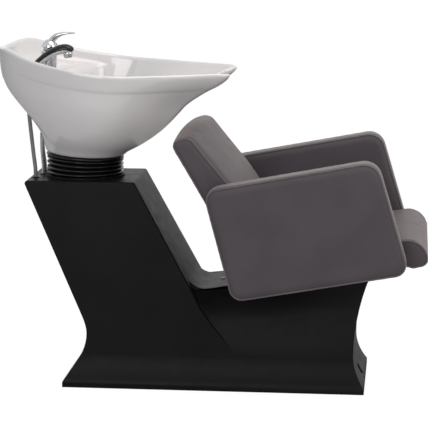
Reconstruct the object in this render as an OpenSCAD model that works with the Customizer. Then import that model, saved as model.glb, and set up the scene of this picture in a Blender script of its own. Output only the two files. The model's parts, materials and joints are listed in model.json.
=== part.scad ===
// Hairdresser's backwash unit: a moulded black base shell over a steel frame,
// a tilting ceramic basin with mixer and hand shower, and a reclined
// upholstered seat with panel arms. Millimetres, +X towards the knees, +Z up.
// The origin is the centre of the base's footprint on the floor.

/* [Base shell] */
// Length of the base at the floor
base_len = 825; // [760:1:860]
// Width of the base at the floor
base_w = 358; // [340:1:400]
// Height of the straight lip at the floor
lip_h = 15; // [8:1:20]
// Wall of the moulded shell
wall = 5; // [4:0.5:6]
// Height of the column's flat top
column_h = 563; // [540:1:590]
// Width of the column at its top
column_top_w = 252; // [244:1:270]
// Length of the column's flat top
column_top_len = 306; // [290:1:322]
// Half width of the sides at the waist, above the flare
waist_half = 151; // [146:1:158]
// Height at which the flare begins
waist_h = 100; // [90:1:115]
// Half width of the pedestal's top at the valley
pedestal_half = 114; // [108:1:120]
// Height of the valley between column and pedestal
valley_h = 267; // [255:1:280]
// Radius of the fillet in the valley
valley_r = 54; // [40:1:60]

/* [Seat] */
// Rake of the seat, arms and pedestal top, in degrees
seat_rake = 10; // [8:0.5:12]
// Width across the outer faces of the arms
arms_w = 650; // [630:1:680]
// Thickness of an arm panel
arm_t = 78; // [70:1:84]
// Gap between the seat and each arm
side_gap = 4; // [4:0.5:6]
// Thickness of the seat from its underside to its seam
seat_t = 71; // [64:1:78]
// Reach of the seat's nose from the valley, along the rake
seat_reach = 629; // [600:1:640]
// Crown of the seat cushion
seat_crown = 8; // [4:1:12]
// Thickness of the plywood boards
board_t = 16; // [12:1:18]
// Thickness of the steel mounting plate
plate_t = 4; // [3:0.5:5]

/* [Basin] */
// Tilt of the basin at rest, in degrees
basin_tilt = 3.4; // [0:0.2:5]
// Width of the basin across its rim
basin_w = 536; // [520:1:550]
// Thickness of the ceramic wall
basin_wall = 12; // [10:0.5:14]
// Radius of the basin's foot
foot_r = 108; // [104:1:112]
// Height of the bellows between column and foot
bellows_h = 59; // [54:1:64]
// Number of folds in the bellows
folds = 4; // [3:1:5]
// Radius of the drain hole
drain_r = 22; // [20:0.5:24]
// Depth of the mixer ledge below the rim's low point
ledge_drop = 25; // [20:1:32]

/* [Mixer and shower] */
// Radius of the mixer body
mixer_r = 21.5; // [20:0.5:23]
// Radius of the handle's ball and hood
hood_r = 22; // [21.5:0.5:22.5]
// Length of the lever from its pivot
lever_len = 68; // [60:1:80]
// Radius of the hand shower's shank
shank_r = 9; // [8:0.5:10]
// Lean of the hand shower in its socket, in degrees
shower_lean = 38; // [34:1:42]
// Radius of the shower hose
hose_r = 5.5; // [4.5:0.5:6]
// Radius of each supply hose
supply_r = 4.5; // [4:0.5:5]

/* [Fits] */
// Radial clearance of a turning or sliding fit
run_fit = 0.05; // [0.02:0.01:0.1]
// Gap between parts that are only seated
seat_fit = 0.3; // [0.2:0.05:0.5]
// Radius of the fixing bolts
bolt_r = 4; // [3:0.5:5]
// Radial clearance of a bolt hole
bolt_fit = 0.4; // [0.2:0.1:0.8]

/* [Hidden] */
$fn = 48;

black = [0.11, 0.105, 0.11];
grey = [0.35, 0.33, 0.345];
white = [0.86, 0.86, 0.87];
steel = [0.45, 0.46, 0.48];
chrome = [0.78, 0.79, 0.8];
wood = [0.72, 0.58, 0.4];

// Points of a flat outline grown outwards by d, or inwards when d is negative
function turn(a, b) = a[0] * b[1] - a[1] * b[0];
function unit(v) = v / norm(v);
function grow(p, d) = [for (i = [0:len(p) - 1])
    let (a = unit(p[i] - p[(i + len(p) - 1) % len(p)]), b = unit(p[(i + 1) % len(p)] - p[i]),
        na = [a[1], -a[0]], nb = [b[1], -b[0]])
    p[i] + d * (na + nb) / (1 + na * nb)];
// Corner at p between points a and b, rounded to radius r
function corner(a, p, b, r, n) =
    let (u = unit(a - p), v = unit(b - p), h = acos(u * v) / 2, c = p + unit(u + v) * r / sin(h),
        s = p + u * r / tan(h) - c, e = p + v * r / tan(h) - c,
        t0 = atan2(s[1], s[0]), dt = atan2(turn(s, e), s * e))
    [for (i = [0:n]) c + r * [cos(t0 + dt * i / n), sin(t0 + dt * i / n)]];
function rounded(p, r, n) = [for (i = [0:len(p) - 1])
    each corner(p[(i + len(p) - 1) % len(p)], p[i], p[(i + 1) % len(p)], r[i], n)];
function table(t, x) = lookup(x, t);
function mean(p) = [for (k = [0:len(p[0]) - 1]) [for (q = p) q[k]] * [for (q = p) 1] / len(p)];

// Closed surface through equal rings; the ends are capped by fans or joined to each other
module skin(rings, ends = true, apexes = []) {
    n = len(rings[0]);
    m = len(rings);
    points = [for (r = rings) each r];
    last = ends ? m - 2 : m - 1;
    sides = [for (j = [0:last], i = [0:n - 1])
        let (a = j * n + i, b = j * n + (i + 1) % n, c = ((j + 1) % m) * n + (i + 1) % n,
            d = ((j + 1) % m) * n + i)
        each [[a, b, c], [a, c, d]]];
    tips = ends ? (len(apexes) == 2 ? apexes : [mean(rings[0]), mean(rings[m - 1])]) : [];
    caps = ends ? [for (i = [0:n - 1]) each [[n * m, (i + 1) % n, i],
        [n * m + 1, (m - 1) * n + i, (m - 1) * n + (i + 1) % n]]] : [];
    polyhedron(concat(points, tips), concat(sides, caps));
}
// Round tube swept along a route of points
function tangent(p, i) = unit(p[min(i + 1, len(p) - 1)] - p[max(i - 1, 0)]);
module tube(p, r, n) {
    skin([for (i = [0:len(p) - 1])
        let (t = i == 0 ? unit(p[1] - p[0]) : i == len(p) - 1 ? unit(p[i] - p[i - 1]) : tangent(p, i),
            u = unit(cross(t, abs(t[1]) < 0.8 ? [0, 1, 0] : [1, 0, 0])), v = cross(t, u))
        [for (k = [0:n - 1]) p[i] + r * (u * cos(-360 * k / n) + v * sin(-360 * k / n))]]);
}
module across(w) rotate([90, 0, 0]) linear_extrude(w, center = true) children();
module pipe(h, r, bore) difference() {
    cylinder(h, r = r);
    translate([0, 0, -1]) cylinder(h + 2, r = bore);
}

// Side outlines of the base. The rear face leans back above the waist.
half_len = base_len / 2;
half_w = base_w / 2;
rear_waist = -349;
rear_waist_h = 145;
rear_bend = [-362, 194];
front_waist = 382;
front_bow = 535;
front_top = -217;
top_rear = front_top - column_top_len;
rear_lean = (rear_bend[0] - top_rear) / (column_h - rear_bend[1]);
top_r = 8;
valley_x = -37;
rake = tan(seat_rake);
pedestal_front = front_waist + 57;
pedestal_h = valley_h + rake * (pedestal_front - valley_x);
// A flare curves out over the share b of its height and then runs straight
function flare_run(q, b) = (q < b ? q * q : b * (2 * q - b)) / (b * (2 - b));
function flare(x, run, z0, n, b = 1) = [for (i = [0:n])
    let (z = lip_h + (z0 - lip_h) * i / n) [x + run * flare_run((z0 - z) / (z0 - lip_h), b), z]];
function flip(p) = [for (i = [len(p) - 1:-1:0]) p[i]];
slope_foot = [front_top + (column_h - valley_h) * 0.54, valley_h];
column_side = concat([[-half_len, 0], [half_len - 280, 0], [half_len - 300, 60]],
    [[43, 121], [-3, 175], [-35, 221], slope_foot],
    corner(slope_foot, [front_top, column_h], [top_rear, column_h], top_r, 4),
    corner([front_top, column_h], [top_rear, column_h], rear_bend, top_r, 4), [rear_bend],
    [for (i = [1:3]) let (q = i / 4) [rear_bend[0] + (rear_waist - rear_bend[0]) * sin(90 * q),
        rear_bend[1] + (rear_waist_h - rear_bend[1]) * q]],
    flip(flare(rear_waist, -(half_len + rear_waist), rear_waist_h, 10, 0.6)));
pedestal_side = concat([[-300, 0], [half_len, 0]],
    flare(front_waist, half_len - front_waist, waist_h, 8),
    [for (i = [1:8]) let (z = waist_h + (pedestal_h - waist_h) * i / 8)
        [front_waist + (z - waist_h) * (z - waist_h) / (2 * front_bow), z]],
    corner([pedestal_front, pedestal_h], [valley_x - 18, valley_h - 3.2], [front_top, column_h],
        valley_r, 6),
    [[-160, 380], [-300, 380]]);
column_front = concat([[half_w, 0]], flare(waist_half, half_w - waist_half, waist_h, 8),
    [[column_top_w / 2, column_h + 1]]);
pedestal_across = concat([[half_w, 0]], flare(waist_half, half_w - waist_half, waist_h, 8),
    [[146, 125], [135, 170], [124, 221], [pedestal_half, valley_h],
     [pedestal_half - 9, pedestal_h + 40]]);
function both(p) = concat(p, [for (q = flip(p)) [-q[0], q[1]]]);
// Body between a side outline and a front outline, grown by d and reaching down by low
module crossed(side, front, d, low) intersection() {
    across(2 * half_w + 20) polygon(stretch(grow(side, d), low));
    rotate([90, 0, 90]) linear_extrude(2 * max(half_len, -top_rear) + 100, center = true)
        polygon(stretch(grow(both(front), d), low));
}
function stretch(p, low) = [for (q = p) q[1] < 8 ? [q[0], -low] : q];
module base_body(d, low) {
    crossed(column_side, column_front, d, low);
    crossed(pedestal_side, pedestal_across, d, low);
}
rear_mid_h = 365;
rear_mid_x = rear_bend[0] - rear_lean * (rear_mid_h - rear_bend[1]);
rear_angle = atan(rear_lean);
panel_w = 176;
panel_l = 236;
panel_lap = 13;
screw_r = 2.1;
m6 = 3;
m6_hole = 3.4;
module at_rear() translate([rear_mid_x, 0, rear_mid_h]) rotate([0, -rear_angle, 0]) children();
module panel_corners() for (y = [-1, 1], z = [-1, 1])
    translate([0, y * (panel_w / 2 - 7), z * (panel_l / 2 - 7)]) rotate([0, -90, 0]) children();

// Places that the basin side shares
basin_x = top_rear + 153;
foot_z = column_h + bellows_h;
ring_t = 5;
neck_r = 90;
hole_shower = [basin_x - 129, -60];
hole_outlet = [basin_x - 122, 30];
hole_cold = [basin_x - 119, 0];
hole_hot = [basin_x - 125, 60];
grommet_r = 9;
screw_x = 14;

module base_shell() color(black) difference() {
    base_body(0, 0);
    base_body(-wall, 20);
    translate([basin_x, 0, column_h - wall - 1]) cylinder(wall + 2, r = neck_r);
    for (h = [hole_shower, hole_outlet, hole_cold, hole_hot])
        translate([h[0], h[1], column_h - wall - 3]) cylinder(wall + 4, r = grommet_r);
    at_rear() {
        cube([60, panel_w - 2 * panel_lap, panel_l - 2 * panel_lap], center = true);
        panel_corners() translate([0, 0, -30]) cylinder(40, r = screw_r + bolt_fit);
    }
    at_seat() {
        translate([screw_along, 0, -20]) cylinder(30, r = bolt_r + bolt_fit);
        seat_bolt_places() translate([0, 0, -20]) cylinder(30, r = bolt_r + bolt_fit);
    }
    base_ring_places() translate([0, 0, column_h - 20]) cylinder(30, r = screw_r + bolt_fit);
    translate([front_waist + 5, slit_y, slit_z]) cube([60, 26, 28], center = true);
}
screw_along = (screw_x - valley_x) / cos(seat_rake);
slit_y = -42;
slit_z = 38;

module service_panel() color(black) at_rear() difference() {
    union() {
        translate([-3, -panel_w / 2, -panel_l / 2]) cube([3, panel_w, panel_l]);
        translate([0, -panel_w / 2 + panel_lap + 1, -panel_l / 2 + panel_lap + 1])
            cube([wall, panel_w - 2 * panel_lap - 2, panel_l - 2 * panel_lap - 2]);
    }
    translate([0.5, -panel_w / 2 + panel_lap + 4, -panel_l / 2 + panel_lap + 4])
        cube([wall, panel_w - 2 * panel_lap - 8, panel_l - 2 * panel_lap - 8]);
    panel_corners() translate([0, 0, -30]) cylinder(40, r = screw_r + bolt_fit);
}
module panel_screws() color(steel) at_rear() panel_corners() {
    translate([0, 0, 3]) cylinder(2, r = 4.2);
    translate([0, 0, -9]) cylinder(12, r = screw_r);
}

// Welded floor frame on levelling feet
rail_y = 120;
rail_w = 30;
rail_h = 30;
foot_h = 12;
rail_len = 690;
cross_x = [-330, -200, 120, 320];
foot_x = 300;
anchor_x = 260;
anchor_y = 80;
anchor_r = 5.5;
module box_tube(size, t) difference() {
    cube(size, center = true);
    cube([size[0] - (size[0] > 100 ? -2 : 2 * t), size[1] - (size[0] > 100 ? 2 * t : -2),
        size[2] - 2 * t], center = true);
}
module floor_frame() color(steel) difference() {
    union() {
        for (y = [-rail_y, rail_y]) translate([0, y, foot_h + rail_h / 2])
            box_tube([rail_len, rail_w, rail_h], 2.5);
        for (x = cross_x) translate([x, 0, foot_h + rail_h / 2])
            box_tube([rail_w, 2 * rail_y - rail_w, rail_h], 2.5);
        for (x = [-anchor_x, anchor_x], y = [-1, 1])
            on_hand(y) translate([x - 20, anchor_y - 15, 0]) {
                cube([40, rail_y - rail_w / 2 - anchor_y + 15, 5]);
                translate([0, rail_y - rail_w / 2 - anchor_y + 10, 0]) cube([40, 6, foot_h + rail_h - 1]);
            }
    }
    for (x = [-foot_x, foot_x], y = [-rail_y, rail_y])
        translate([x, y, foot_h - 1]) cylinder(rail_h - 3, r = bolt_r + bolt_fit);
    for (x = [-anchor_x, anchor_x], y = [-anchor_y, anchor_y])
        translate([x, y, -1]) cylinder(7, r = anchor_r);
}
module levelling_feet() color(black)
    for (x = [-foot_x, foot_x], y = [-rail_y, rail_y]) translate([x, y, 0]) {
        cylinder(4, r1 = 17, r2 = 18);
        translate([0, 0, 4]) cylinder(foot_h - 4, r = 18);
        translate([0, 0, foot_h]) cylinder(18, r = bolt_r);
    }

// Leaning uprights and the plate that carries the tilting head
upright_y = 72;
upright_w = 30;
upright_d = 50;
head_t = 6;
head_z = column_h - wall - head_t - seat_fit;
head_hole = 50;
upright_foot = cross_x[1];
upright_lean = (basin_x + 20 - upright_foot) / (head_z - foot_h - rail_h);
module column_frame() color(steel) {
    upright_h = head_z - foot_h - rail_h + 2;
    for (y = [-upright_y, upright_y]) translate([upright_foot, y, foot_h + rail_h]) across(upright_w)
        polygon([[-upright_d / 2, 0], [upright_d / 2, 0],
            [upright_d / 2 + upright_lean * upright_h, upright_h],
            [-upright_d / 2 + upright_lean * upright_h, upright_h]]);
    translate([basin_x, 0, head_z]) difference() {
        translate([-105, -92, 0]) cube([210, 184, head_t]);
        translate([0, 0, -1]) cylinder(head_t + 2, r = head_hole);
        yoke_bolt_places() translate([0, 0, -1]) cylinder(head_t + 2, r = bolt_r + bolt_fit);
        translate([-basin_x, 0, -head_z]) base_ring_places()
            translate([0, 0, head_z - 1]) cylinder(head_t + 2, r = screw_r + bolt_fit);
    }
}
module base_ring_places() for (a = [50, 130, 230, 310])
    translate([basin_x + (neck_r + 9) * cos(a), (neck_r + 9) * sin(a), 0]) children();
yoke_half = 56;
module yoke_bolt_places() for (x = [-1, 1], y = [-1, 1])
    translate([x * 38, y * 38, 0]) children();

// Seat side, in a frame raked about the valley
module at_seat() translate([valley_x, 0, valley_h]) rotate([0, -seat_rake, 0]) children();
bolt_x = [180, 400];
bolt_y = 60;
module seat_bolt_places() for (x = bolt_x, y = [-bolt_y, bolt_y]) translate([x, y, 0]) children();
under_top = -wall - seat_fit;
module pedestal_frame() color(steel) {
    at_seat() difference() {
        translate([150, -85, under_top - 6]) cube([290, 170, 6]);
        seat_bolt_places() translate([0, 0, -20]) cylinder(30, r = bolt_r + bolt_fit);
    }
    for (x = [cross_x[2], cross_x[3]], y = [-1, 1]) translate([x, y * 60, 0]) across(30)
        polygon([[-15, foot_h + rail_h], [15, foot_h + rail_h],
            [15, post_top(x + 15) + 2], [-15, post_top(x - 15) + 2]]);
}
function post_top(x) = valley_h + rake * (x - valley_x) + (under_top - 6) / cos(seat_rake);
module shell_screw() color(steel) at_seat() translate([screw_along, 0, 0]) {
    cylinder(1.6, r = 7);
    translate([0, 0, -14]) cylinder(14, r = bolt_r);
}
module seat_plate() color(steel) at_seat() difference() {
    translate([110, -95, 0]) cube([345, 190, plate_t]);
    seat_bolt_places() translate([0, 0, -1]) cylinder(plate_t + 2, r = bolt_r + bolt_fit);
}
board_x0 = 112;
board_x1 = seat_reach - 57;
seat_half = arms_w / 2 - arm_t - side_gap;
board_half = seat_half - 6;
module seat_bolts() color(steel) at_seat() seat_bolt_places() {
    translate([0, 0, plate_t + board_t]) cylinder(2, r = 9);
    translate([0, 0, under_top - 12]) cylinder(12 - under_top + plate_t + board_t, r = bolt_r);
    translate([0, 0, under_top - 13]) cylinder(6.7, r = 7, $fn = 6);
}
module seat_board() color(wood) difference() {
    at_seat() difference() {
        translate([board_x0, -board_half, plate_t])
            cube([board_x1 - board_x0, 2 * board_half, board_t]);
        seat_bolt_places() cylinder(40, r = bolt_r + bolt_fit);
    }
    board_bolt_places() cylinder(40, r = m6_hole);
}

// Seat cushion: a crowned slab with a rolled nose, between two flat piped sides
cushion_z = plate_t + board_t + seat_fit;
back_foot = 238;
nose_drop = 4;
function seat_profile(c) = concat(
    [for (x = [240, 330, 420, 500]) [x, plate_t]],
    corner([seat_reach - 60, -nose_drop], [seat_reach, -nose_drop], [seat_reach, 40], 22, 4),
    corner([seat_reach, 0], [seat_reach, seat_t], [400, seat_t + c], 54, 8),
    [for (x = [540, 480, 400, 320]) [x, seat_t + c * sin(180 * (x - 150) / 500)]],
    [[back_foot + 8, seat_t + c * 0.3], [board_x0 + 50, cushion_z + 6], [board_x0 + 46, plate_t]]);
function on_side(p, y) = [for (q = p) [q[0], y, q[1]]];
function shrink(p, c, s) = [for (q = p) c + (q - c) * s];
seat_apex = [400, 38];
module seat_cushion() color(grey) at_seat() difference() {
    skin([for (k = [-7:7]) let (q = abs(k) / 7, y = (k < 0 ? -1 : 1) * seat_half * sin(90 * q),
            c = seat_crown * (1 - pow(q, 4)))
        on_side(shrink(seat_profile(c), seat_apex, q == 1 ? 0.985 : 1), y)],
        apexes = [[seat_apex[0], -seat_half, seat_apex[1]], [seat_apex[0], seat_half, seat_apex[1]]]);
    translate([board_x0 - 5, -board_half - seat_fit, -5])
        cube([board_x1 - board_x0 + 5 + seat_fit, 2 * (board_half + seat_fit), 5 + cushion_z]);
    seat_bolt_places() cylinder(cushion_z + 3, r = 10);
    for (x = arm_bracket_x, y = [-arm_bolt_y, arm_bolt_y]) translate([x, y, 0])
        cylinder(cushion_z + 3, r = 8);
}

// Backrest: plywood at the rear, a foam wedge in front of it
back_top = [-93, 682];
back_bottom = [92, 352];
back_run = unit(back_top - back_bottom);
back_norm = [-back_run[1], back_run[0]];
back_len = norm(back_top - back_bottom);
back_half = seat_half - 2;
module at_back() translate([back_bottom[0], 0, back_bottom[1]])
    rotate([0, atan2(back_run[0], back_run[1]), 0]) children();
rear_board_t = 14;
side_wrap = 8;
module backrest_board() color(grey) at_back() difference() {
    translate([0, -back_half + side_wrap, 0])
        cube([rear_board_t, 2 * (back_half - side_wrap), back_len - 12]);
    bracket_rows() rotate([0, 90, 0]) translate([0, 0, -1]) cylinder(20, r = m6_hole);
}
back_bracket_y = 118;
back_bolt_z = [26, 54];
module bracket_rows() for (y = [-1, 1], z = back_bolt_z)
    translate([0, y * back_bracket_y, z]) children();
wedge_foot = 100;
wedge_head = 46;
back_crown = 26;
rear_pad = 9;
top_fall = 12;
mid_board = rear_board_t / 2;
function back_profile(c) = concat(
    corner([mid_board, 200], [mid_board, 10], [wedge_foot, -20], 4, 2),
    corner([mid_board, 10], [wedge_foot + c - 4, -20], [wedge_head + c, back_len], 24, 4),
    [for (q = [0.3, 0.5, 0.7]) [c + wedge_foot + (wedge_head - wedge_foot) * q + 4 * sin(180 * q),
        40 + (back_len - 40) * q]],
    corner([wedge_foot + c, 40], [wedge_head + c, back_len + 2 + 0.4 * c],
        [-rear_pad, back_len + 2 + top_fall + 0.2 * c], 24, 6),
    corner([wedge_head + c, back_len + 2 + 0.4 * c],
        [-rear_pad, back_len + 2 + top_fall + 0.2 * c], [-3, 88], 17, 6),
    [[-3, 88], [mid_board, 84]]);
back_apex = [rear_board_t + 18, back_len - 40];
module backrest_cushion() color(grey) at_back() difference() {
    skin([for (k = [-7:7]) let (q = abs(k) / 7, y = (k < 0 ? -1 : 1) * back_half * sin(90 * q),
            c = back_crown * pow(cos(90 * q), 2))
        on_side(shrink(back_profile(c), back_apex, q == 1 ? 0.985 : 1), y)],
        apexes = [[back_apex[0], -back_half, back_apex[1]], [back_apex[0], back_half, back_apex[1]]]);
    translate([-seat_fit, -back_half + side_wrap - seat_fit, -60])
        cube([rear_board_t + 2 * seat_fit, 2 * (back_half - side_wrap + seat_fit),
            back_len + 60 - 12 + seat_fit]);
    bracket_rows() rotate([0, 90, 0]) cylinder(26, r = 8);
}
// Angle brackets from the seat board to the backrest board
bracket_w = 40;
back_bracket_t = 3.7;
module backrest_brackets() color(steel) for (y = [-back_bracket_y, back_bracket_y]) difference() {
    union() {
        at_back() translate([-back_bracket_t - seat_fit, y - bracket_w / 2, -42])
            cube([back_bracket_t, bracket_w, 116]);
        at_seat() translate([board_x0 + 4, y - bracket_w / 2, cushion_z])
            cube([38.5, bracket_w, 3]);
    }
    at_back() bracket_rows() translate([-10, 0, 0]) rotate([0, 90, 0]) cylinder(20, r = m6_hole);
    board_bolt_places() translate([0, 0, -10]) cylinder(40, r = m6_hole);
}
module backrest_bolts() color(steel) at_back() bracket_rows() rotate([0, 90, 0]) {
    translate([0, 0, -8]) cylinder(3.7, r = 6);
    translate([0, 0, -5]) cylinder(rear_board_t + 10, r = m6);
    translate([0, 0, rear_board_t + seat_fit]) cylinder(4.5, r = 7, $fn = 6);
}
// Bolts that hold both kinds of bracket to the seat board
arm_bracket_x = [200, 470];
arm_bolt_y = 190;
back_bolt_x = board_x0 + 20;
module board_bolt_places() at_seat() for (y = [-1, 1]) {
    translate([back_bolt_x, y * back_bracket_y, 0]) children();
    for (x = arm_bracket_x) translate([x, y * arm_bolt_y, 0]) children();
}
module board_bolts() color(steel) {
    board_bolt_places() translate([0, 0, -1]) cylinder(cushion_z + 1, r = m6);
    at_seat() for (y = [-1, 1]) {
        translate([back_bolt_x, y * back_bracket_y, cushion_z]) {
            cylinder(5, r = m6);
            translate([0, 0, 3 + seat_fit]) cylinder(2.5, r = 6);
        }
        translate([back_bolt_x, y * back_bracket_y, 0.4]) cylinder(3.2, r = 6, $fn = 6);
        for (x = arm_bracket_x) translate([x, y * arm_bolt_y, 0]) {
            translate([0, 0, plate_t + board_t + seat_fit]) cylinder(2, r = 6);
            translate([0, 0, -3.2]) cylinder(3.6, r = 6, $fn = 6);
        }
    }
}

// Arm panels: rounded parallelograms in side view
arm_corners = [[66, 277], [533, 361], [443, 662], [-14, 576]];
arm_radii = [37, 33, 48, 38];
arm_outline = rounded(arm_corners, arm_radii, 6);
arm_mid = mean(arm_corners);
arm_in = arms_w / 2 - arm_t;
arm_rings = [[0.02, 3], [0.6, 2.6], [0.9, 1.2], [0.975, -2], [1, -9],
    [0.994, -arm_t / 2], [1, 12 - arm_t], [0.975, 5 - arm_t], [0.9, 3 - arm_t], [0.02, 3 - arm_t]];
core_t = 24;
core_inset = 20;
core_y = arm_in + 22;
module arm_core(s) color(wood) on_hand(s) difference() {
    translate([0, core_y + core_t / 2, 0]) across(core_t) polygon(grow(arm_outline, -core_inset));
    arm_screw_places() cylinder(60, r = m6_hole);
}
module on_hand(s) if (s > 0) children(); else mirror([0, 1, 0]) children();
module arm_screw_places() at_seat() for (x = arm_bracket_x, z = [32, 58])
    translate([x, arm_in - 1, z]) rotate([-90, 0, 0]) children();
module arm_pad(s) color(grey) on_hand(s) difference() {
    skin(flip([for (r = arm_rings)
        on_side(shrink(arm_outline, arm_mid, r[0]), arms_w / 2 - 3 + r[1])]));
    translate([0, core_y + core_t / 2, 0]) across(core_t + 2 * seat_fit)
        polygon(grow(arm_outline, -core_inset + seat_fit));
    arm_screw_places() cylinder(60, r = m6_hole);
}
module arm_core_left() arm_core(1);
module arm_core_right() arm_core(-1);
module arm_pad_left() arm_pad(1);
module arm_pad_right() arm_pad(-1);
// Steel angles under the seat board that carry the arms
module arm_brackets() color(steel) for (s = [-1, 1]) on_hand(s) difference() {
    at_seat() for (x = arm_bracket_x) {
        translate([x - 25, 142, plate_t - 3.3]) cube([50, arm_in - 142 - seat_fit, 3]);
        translate([x - 25, arm_in - 3.3, plate_t - 3.3]) cube([50, 3, 75]);
    }
    arm_screw_places() translate([0, 0, -10]) cylinder(20, r = m6_hole);
    board_bolt_places() translate([0, 0, -5]) cylinder(20, r = m6_hole);
}
module arm_screws() color(steel) for (s = [-1, 1]) on_hand(s) arm_screw_places() {
    translate([0, 0, -3]) cylinder(0.7, r = 5.5);
    translate([0, 0, -2.3]) cylinder(46, r = m6);
}

// Tilting head: a yoke on the frame, a bracket under the basin, two shoulder bolts
pin_z = column_h + 25;
ear_in = 47;
ear_t = 6;
washer_t = 2;
pin_r = 6;
yoke_in = ear_in + ear_t + washer_t;
yoke_z = head_z + head_t;
module at_pin() translate([basin_x, 0, pin_z]) children();
module ear(y, t, r, reach) translate([0, y + t / 2, 0]) across(t) difference() {
    union() {
        circle(r);
        translate([-r, reach > 0 ? 0 : reach]) square([2 * r, abs(reach)]);
    }
    circle(pin_r + run_fit);
}
module tilt_yoke() color(steel) {
    difference() {
        translate([basin_x - yoke_half, -yoke_in - ear_t, yoke_z])
            cube([2 * yoke_half, 2 * (yoke_in + ear_t), 5]);
        translate([basin_x, 0, yoke_z]) {
            yoke_bolt_places() translate([0, 0, -1]) cylinder(8, r = bolt_r + bolt_fit);
            translate([0, 0, -1]) cylinder(8, r = 30);
        }
    }
    at_pin() for (y = [yoke_in, -yoke_in - ear_t]) ear(y, ear_t, 14, yoke_z + 2 - pin_z);
}
module yoke_bolts() color(steel) translate([basin_x, 0, yoke_z]) yoke_bolt_places() {
    translate([0, 0, 5]) cylinder(5, r = 6.5, $fn = 6);
    translate([0, 0, -16]) cylinder(21, r = bolt_r);
    translate([0, 0, -head_t - 6.3]) cylinder(6, r = 6.5, $fn = 6);
}
module at_basin() translate([basin_x, 0, foot_z]) rotate([0, basin_tilt, 0]) children();
bracket_t = 5;
bracket_half = 46;
drop = foot_z - pin_z;
module tilt_bracket() color(steel) at_basin() {
    difference() {
        translate([-bracket_half, -ear_in - ear_t, -bracket_t - seat_fit])
            cube([2 * bracket_half, 2 * (ear_in + ear_t), bracket_t]);
        translate([0, 0, -20]) cylinder(30, r = 34);
        bracket_bolt_places() translate([0, 0, -20]) cylinder(30, r = m6_hole);
    }
    translate([drop * sin(basin_tilt), 0, -drop * cos(basin_tilt)])
        for (y = [ear_in, -ear_in - ear_t]) ear(y, ear_t, 13, drop - bracket_t + 1);
}
bracket_bolt_x = 38;
bracket_bolt_y = 40;
module bracket_bolt_places() for (x = [-1, 1], y = [-1, 1])
    translate([x * bracket_bolt_x, y * bracket_bolt_y, 0]) children();
module bracket_bolts() color(steel) at_basin() bracket_bolt_places() {
    translate([0, 0, -bracket_t - seat_fit - 4]) cylinder(4, r = 5.5, $fn = 6);
    translate([0, 0, -bracket_t - seat_fit]) cylinder(bracket_t + 11, r = m6);
}
module tilt_pins() color(chrome) at_pin() for (s = [-1, 1]) on_hand(s) {
    rotate([-90, 0, 0]) translate([0, 0, ear_in - 7])
        cylinder(yoke_in + ear_t - ear_in + 7, r = pin_r);
    rotate([-90, 0, 0]) translate([0, 0, yoke_in + ear_t + 0.2]) cylinder(5, r = 10);
    rotate([-90, 0, 0]) translate([0, 0, yoke_in + ear_t]) cylinder(0.3, r = pin_r);
}
module pin_nuts() color(steel) at_pin() for (s = [-1, 1]) on_hand(s)
    rotate([-90, 0, 0]) translate([0, 0, ear_in - 6.3]) difference() {
        cylinder(6, r = 10, $fn = 6);
        translate([0, 0, -1]) cylinder(8, r = pin_r + run_fit);
    }
module friction_washers() color(black) at_pin() for (s = [-1, 1]) on_hand(s)
    rotate([-90, 0, 0]) translate([0, 0, ear_in + ear_t + 0.2]) pipe(washer_t - 0.4, 12, pin_r + 0.1);

// Rubber bellows, open for the waste pipe, closed up at the front by the tilt
bellows_z0 = column_h + ring_t + seat_fit;
bellows_z1 = foot_z - ring_t - seat_fit;
bellows_r = foot_r - 2;
fold_depth = 12;
rubber_t = 3;
bellows_n = 32;
function bellows_ring(q, r) =
    let (a = basin_tilt * q, c = [basin_x, bellows_z0 + (bellows_z1 - bellows_z0) * q])
    [for (i = [0:bellows_n - 1]) let (t = -360 * i / bellows_n)
        [c[0] + r * cos(t) * cos(a), r * sin(t), c[1] - r * cos(t) * sin(a)]];
bellows_steps = 4 * folds;
module bellows() color(black) skin(concat(
    [for (k = [0:bellows_steps]) let (q = k / bellows_steps)
        bellows_ring(q, bellows_r - fold_depth * (1 - abs(sin(180 * q * folds))))],
    [for (k = [bellows_steps:-1:0]) let (q = k / bellows_steps)
        bellows_ring(q, bellows_r - rubber_t - fold_depth * (1 - abs(sin(180 * q * folds))))]),
    ends = false);
module bellows_base_ring() color(black) difference() {
    translate([basin_x, 0, column_h]) pipe(ring_t, foot_r + 1, neck_r - 4);
    base_ring_places() {
        translate([0, 0, column_h - 1]) cylinder(8, r = screw_r + bolt_fit);
        translate([0, 0, column_h + 2]) cylinder(8, r = 4.6);
    }
}
// Screws with sunk heads through ring, shell and head plate, each with its nut
module ring_screws() color(steel) base_ring_places() {
    translate([0, 0, column_h + 2]) cylinder(2.6, r = 4.2);
    translate([0, 0, head_z - 6]) cylinder(column_h + 3 - head_z + 6, r = screw_r);
    translate([0, 0, head_z - 4 - seat_fit]) cylinder(4, r = 4.5, $fn = 6);
}
module bellows_top_ring() color(black) at_basin()
    translate([0, 0, -ring_t]) pipe(ring_t - seat_fit, foot_r - 1, foot_r - 20);

// Basin, in its own tilted frame about the centre of its foot.
// Rim stations on one side, from the neck rest round to the rear: x, y, z
rim_half = [[318, 0, 212], [322, 28, 215], [338, 52, 226], [363, 69, 242], [387, 84, 253],
    [400, 104, 258], [389, 128, 259], [357, 143, 258], [299, 171, 255], [231, 209, 252],
    [162, 243, 249], [97, 266, 247], [27, 268, 250], [-40, 257, 257], [-113, 234, 268],
    [-165, 205, 281], [-208, 160, 293], [-237, 84, 285], [-249, 0, 279]];
wide = basin_w / 536;
rim_all = concat(rim_half, [for (i = [len(rim_half) - 2:-1:1]) let (p = rim_half[i]) [p[0], -p[1], p[2]]]);
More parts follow.
